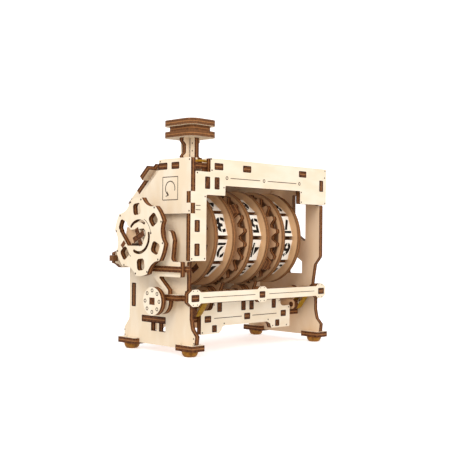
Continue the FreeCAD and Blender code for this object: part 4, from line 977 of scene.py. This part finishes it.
def paper_bowl():
    bm = bmesh.new()
    profile = ((0.0, 0.0), (1.2, 0.0), (1.5, 0.06), (1.75, 0.25), (1.85, 0.6), (1.9, 1.6))
    turned(bm, profile, 0, 0, 64)
    bmesh.ops.remove_doubles(bm, verts=bm.verts, dist=0.0005)
    bmesh.ops.recalc_face_normals(bm, faces=bm.faces)
    mesh = bpy.data.meshes.new("backdrop")
    bm.to_mesh(mesh)
    bm.free()
    for polygon in mesh.polygons:
        polygon.use_smooth = True
    paint = Paint("backdrop_paper", 0.9)
    haze = paint.noise(paint.coords.outputs["Object"], 3.0, 2.0, 0.5)
    tone = paint.mix(haze.step(0.3, 0.7), *PAPER)
    paint.colour(tone)
    paint.feed(paint.shader.inputs["Emission Color"], tone)
    paint.shader.inputs["Emission Strength"].default_value = 0.55
    mesh.materials.append(paint.material)
    backdrop = bpy.data.objects.new("backdrop", mesh)
    bpy.context.scene.collection.objects.link(backdrop)
    backdrop.visible_diffuse = False
    backdrop.visible_glossy = False


def lamp(name, spot, aim, size, watts, tint):
    """A round soft lamp at a spot, turned to its aim, both in metres in the row frame."""
    light = bpy.data.lights.new(name, "AREA")
    light.shape = "DISK"
    light.size = size
    light.energy = watts
    light.color = tint
    made = bpy.data.objects.new(name, light)
    made.location = spot
    made.rotation_mode = "QUATERNION"
    made.rotation_quaternion = (Vector(aim) - Vector(spot)).to_track_quat("-Z", "Y")
    bpy.context.scene.collection.objects.link(made)


def lights():
    """An even pale world and two soft lamps."""
    world = bpy.data.worlds.new("studio")
    bpy.context.scene.world = world
    world.use_nodes = True
    back = world.node_tree.nodes["Background"]
    back.inputs["Color"].default_value = (1.0, 0.985, 0.975, 1.0)
    back.inputs["Strength"].default_value = 0.85
    lamp("key", (-0.85, -0.35, 0.70), (0, 0, 0.05), 0.6, 5.6, (1.0, 0.975, 0.94))
    lamp("fill", (-0.15, -0.95, 0.38), (0, 0, 0.06), 0.7, 3.5, (1.0, 0.97, 0.945))


def photo_camera():
    """The photo's camera from its place, heading, pitch and roll."""
    camera = bpy.data.cameras.new("camera")
    camera.sensor_fit = "HORIZONTAL"
    camera.sensor_width = 36.0
    camera.lens = CAMERA_LENS
    camera.clip_start = 0.01
    camera.clip_end = 20.0
    holder = bpy.data.objects.new("camera", camera)
    bpy.context.scene.collection.objects.link(holder)
    ahead = Vector((math.cos(CAMERA_HEADING), math.sin(CAMERA_HEADING), 0))
    right = Vector((math.sin(CAMERA_HEADING), -math.cos(CAMERA_HEADING), 0))
    up = Vector((0, 0, 1))
    look = ahead * math.cos(CAMERA_PITCH) + up * math.sin(CAMERA_PITCH)
    top = up * math.cos(CAMERA_PITCH) - ahead * math.sin(CAMERA_PITCH)
    side = right * math.cos(CAMERA_ROLL) + top * math.sin(CAMERA_ROLL)
    over = top * math.cos(CAMERA_ROLL) - right * math.sin(CAMERA_ROLL)
    grid = Matrix((side, over, -look)).transposed().to_4x4()
    holder.matrix_world = Matrix.Translation(place(*CAMERA_PLACE)) @ grid
    bpy.context.scene.camera = holder
    bpy.context.scene.view_settings.view_transform = "Standard"


dress()
paper_bowl()
lights()
photo_camera()
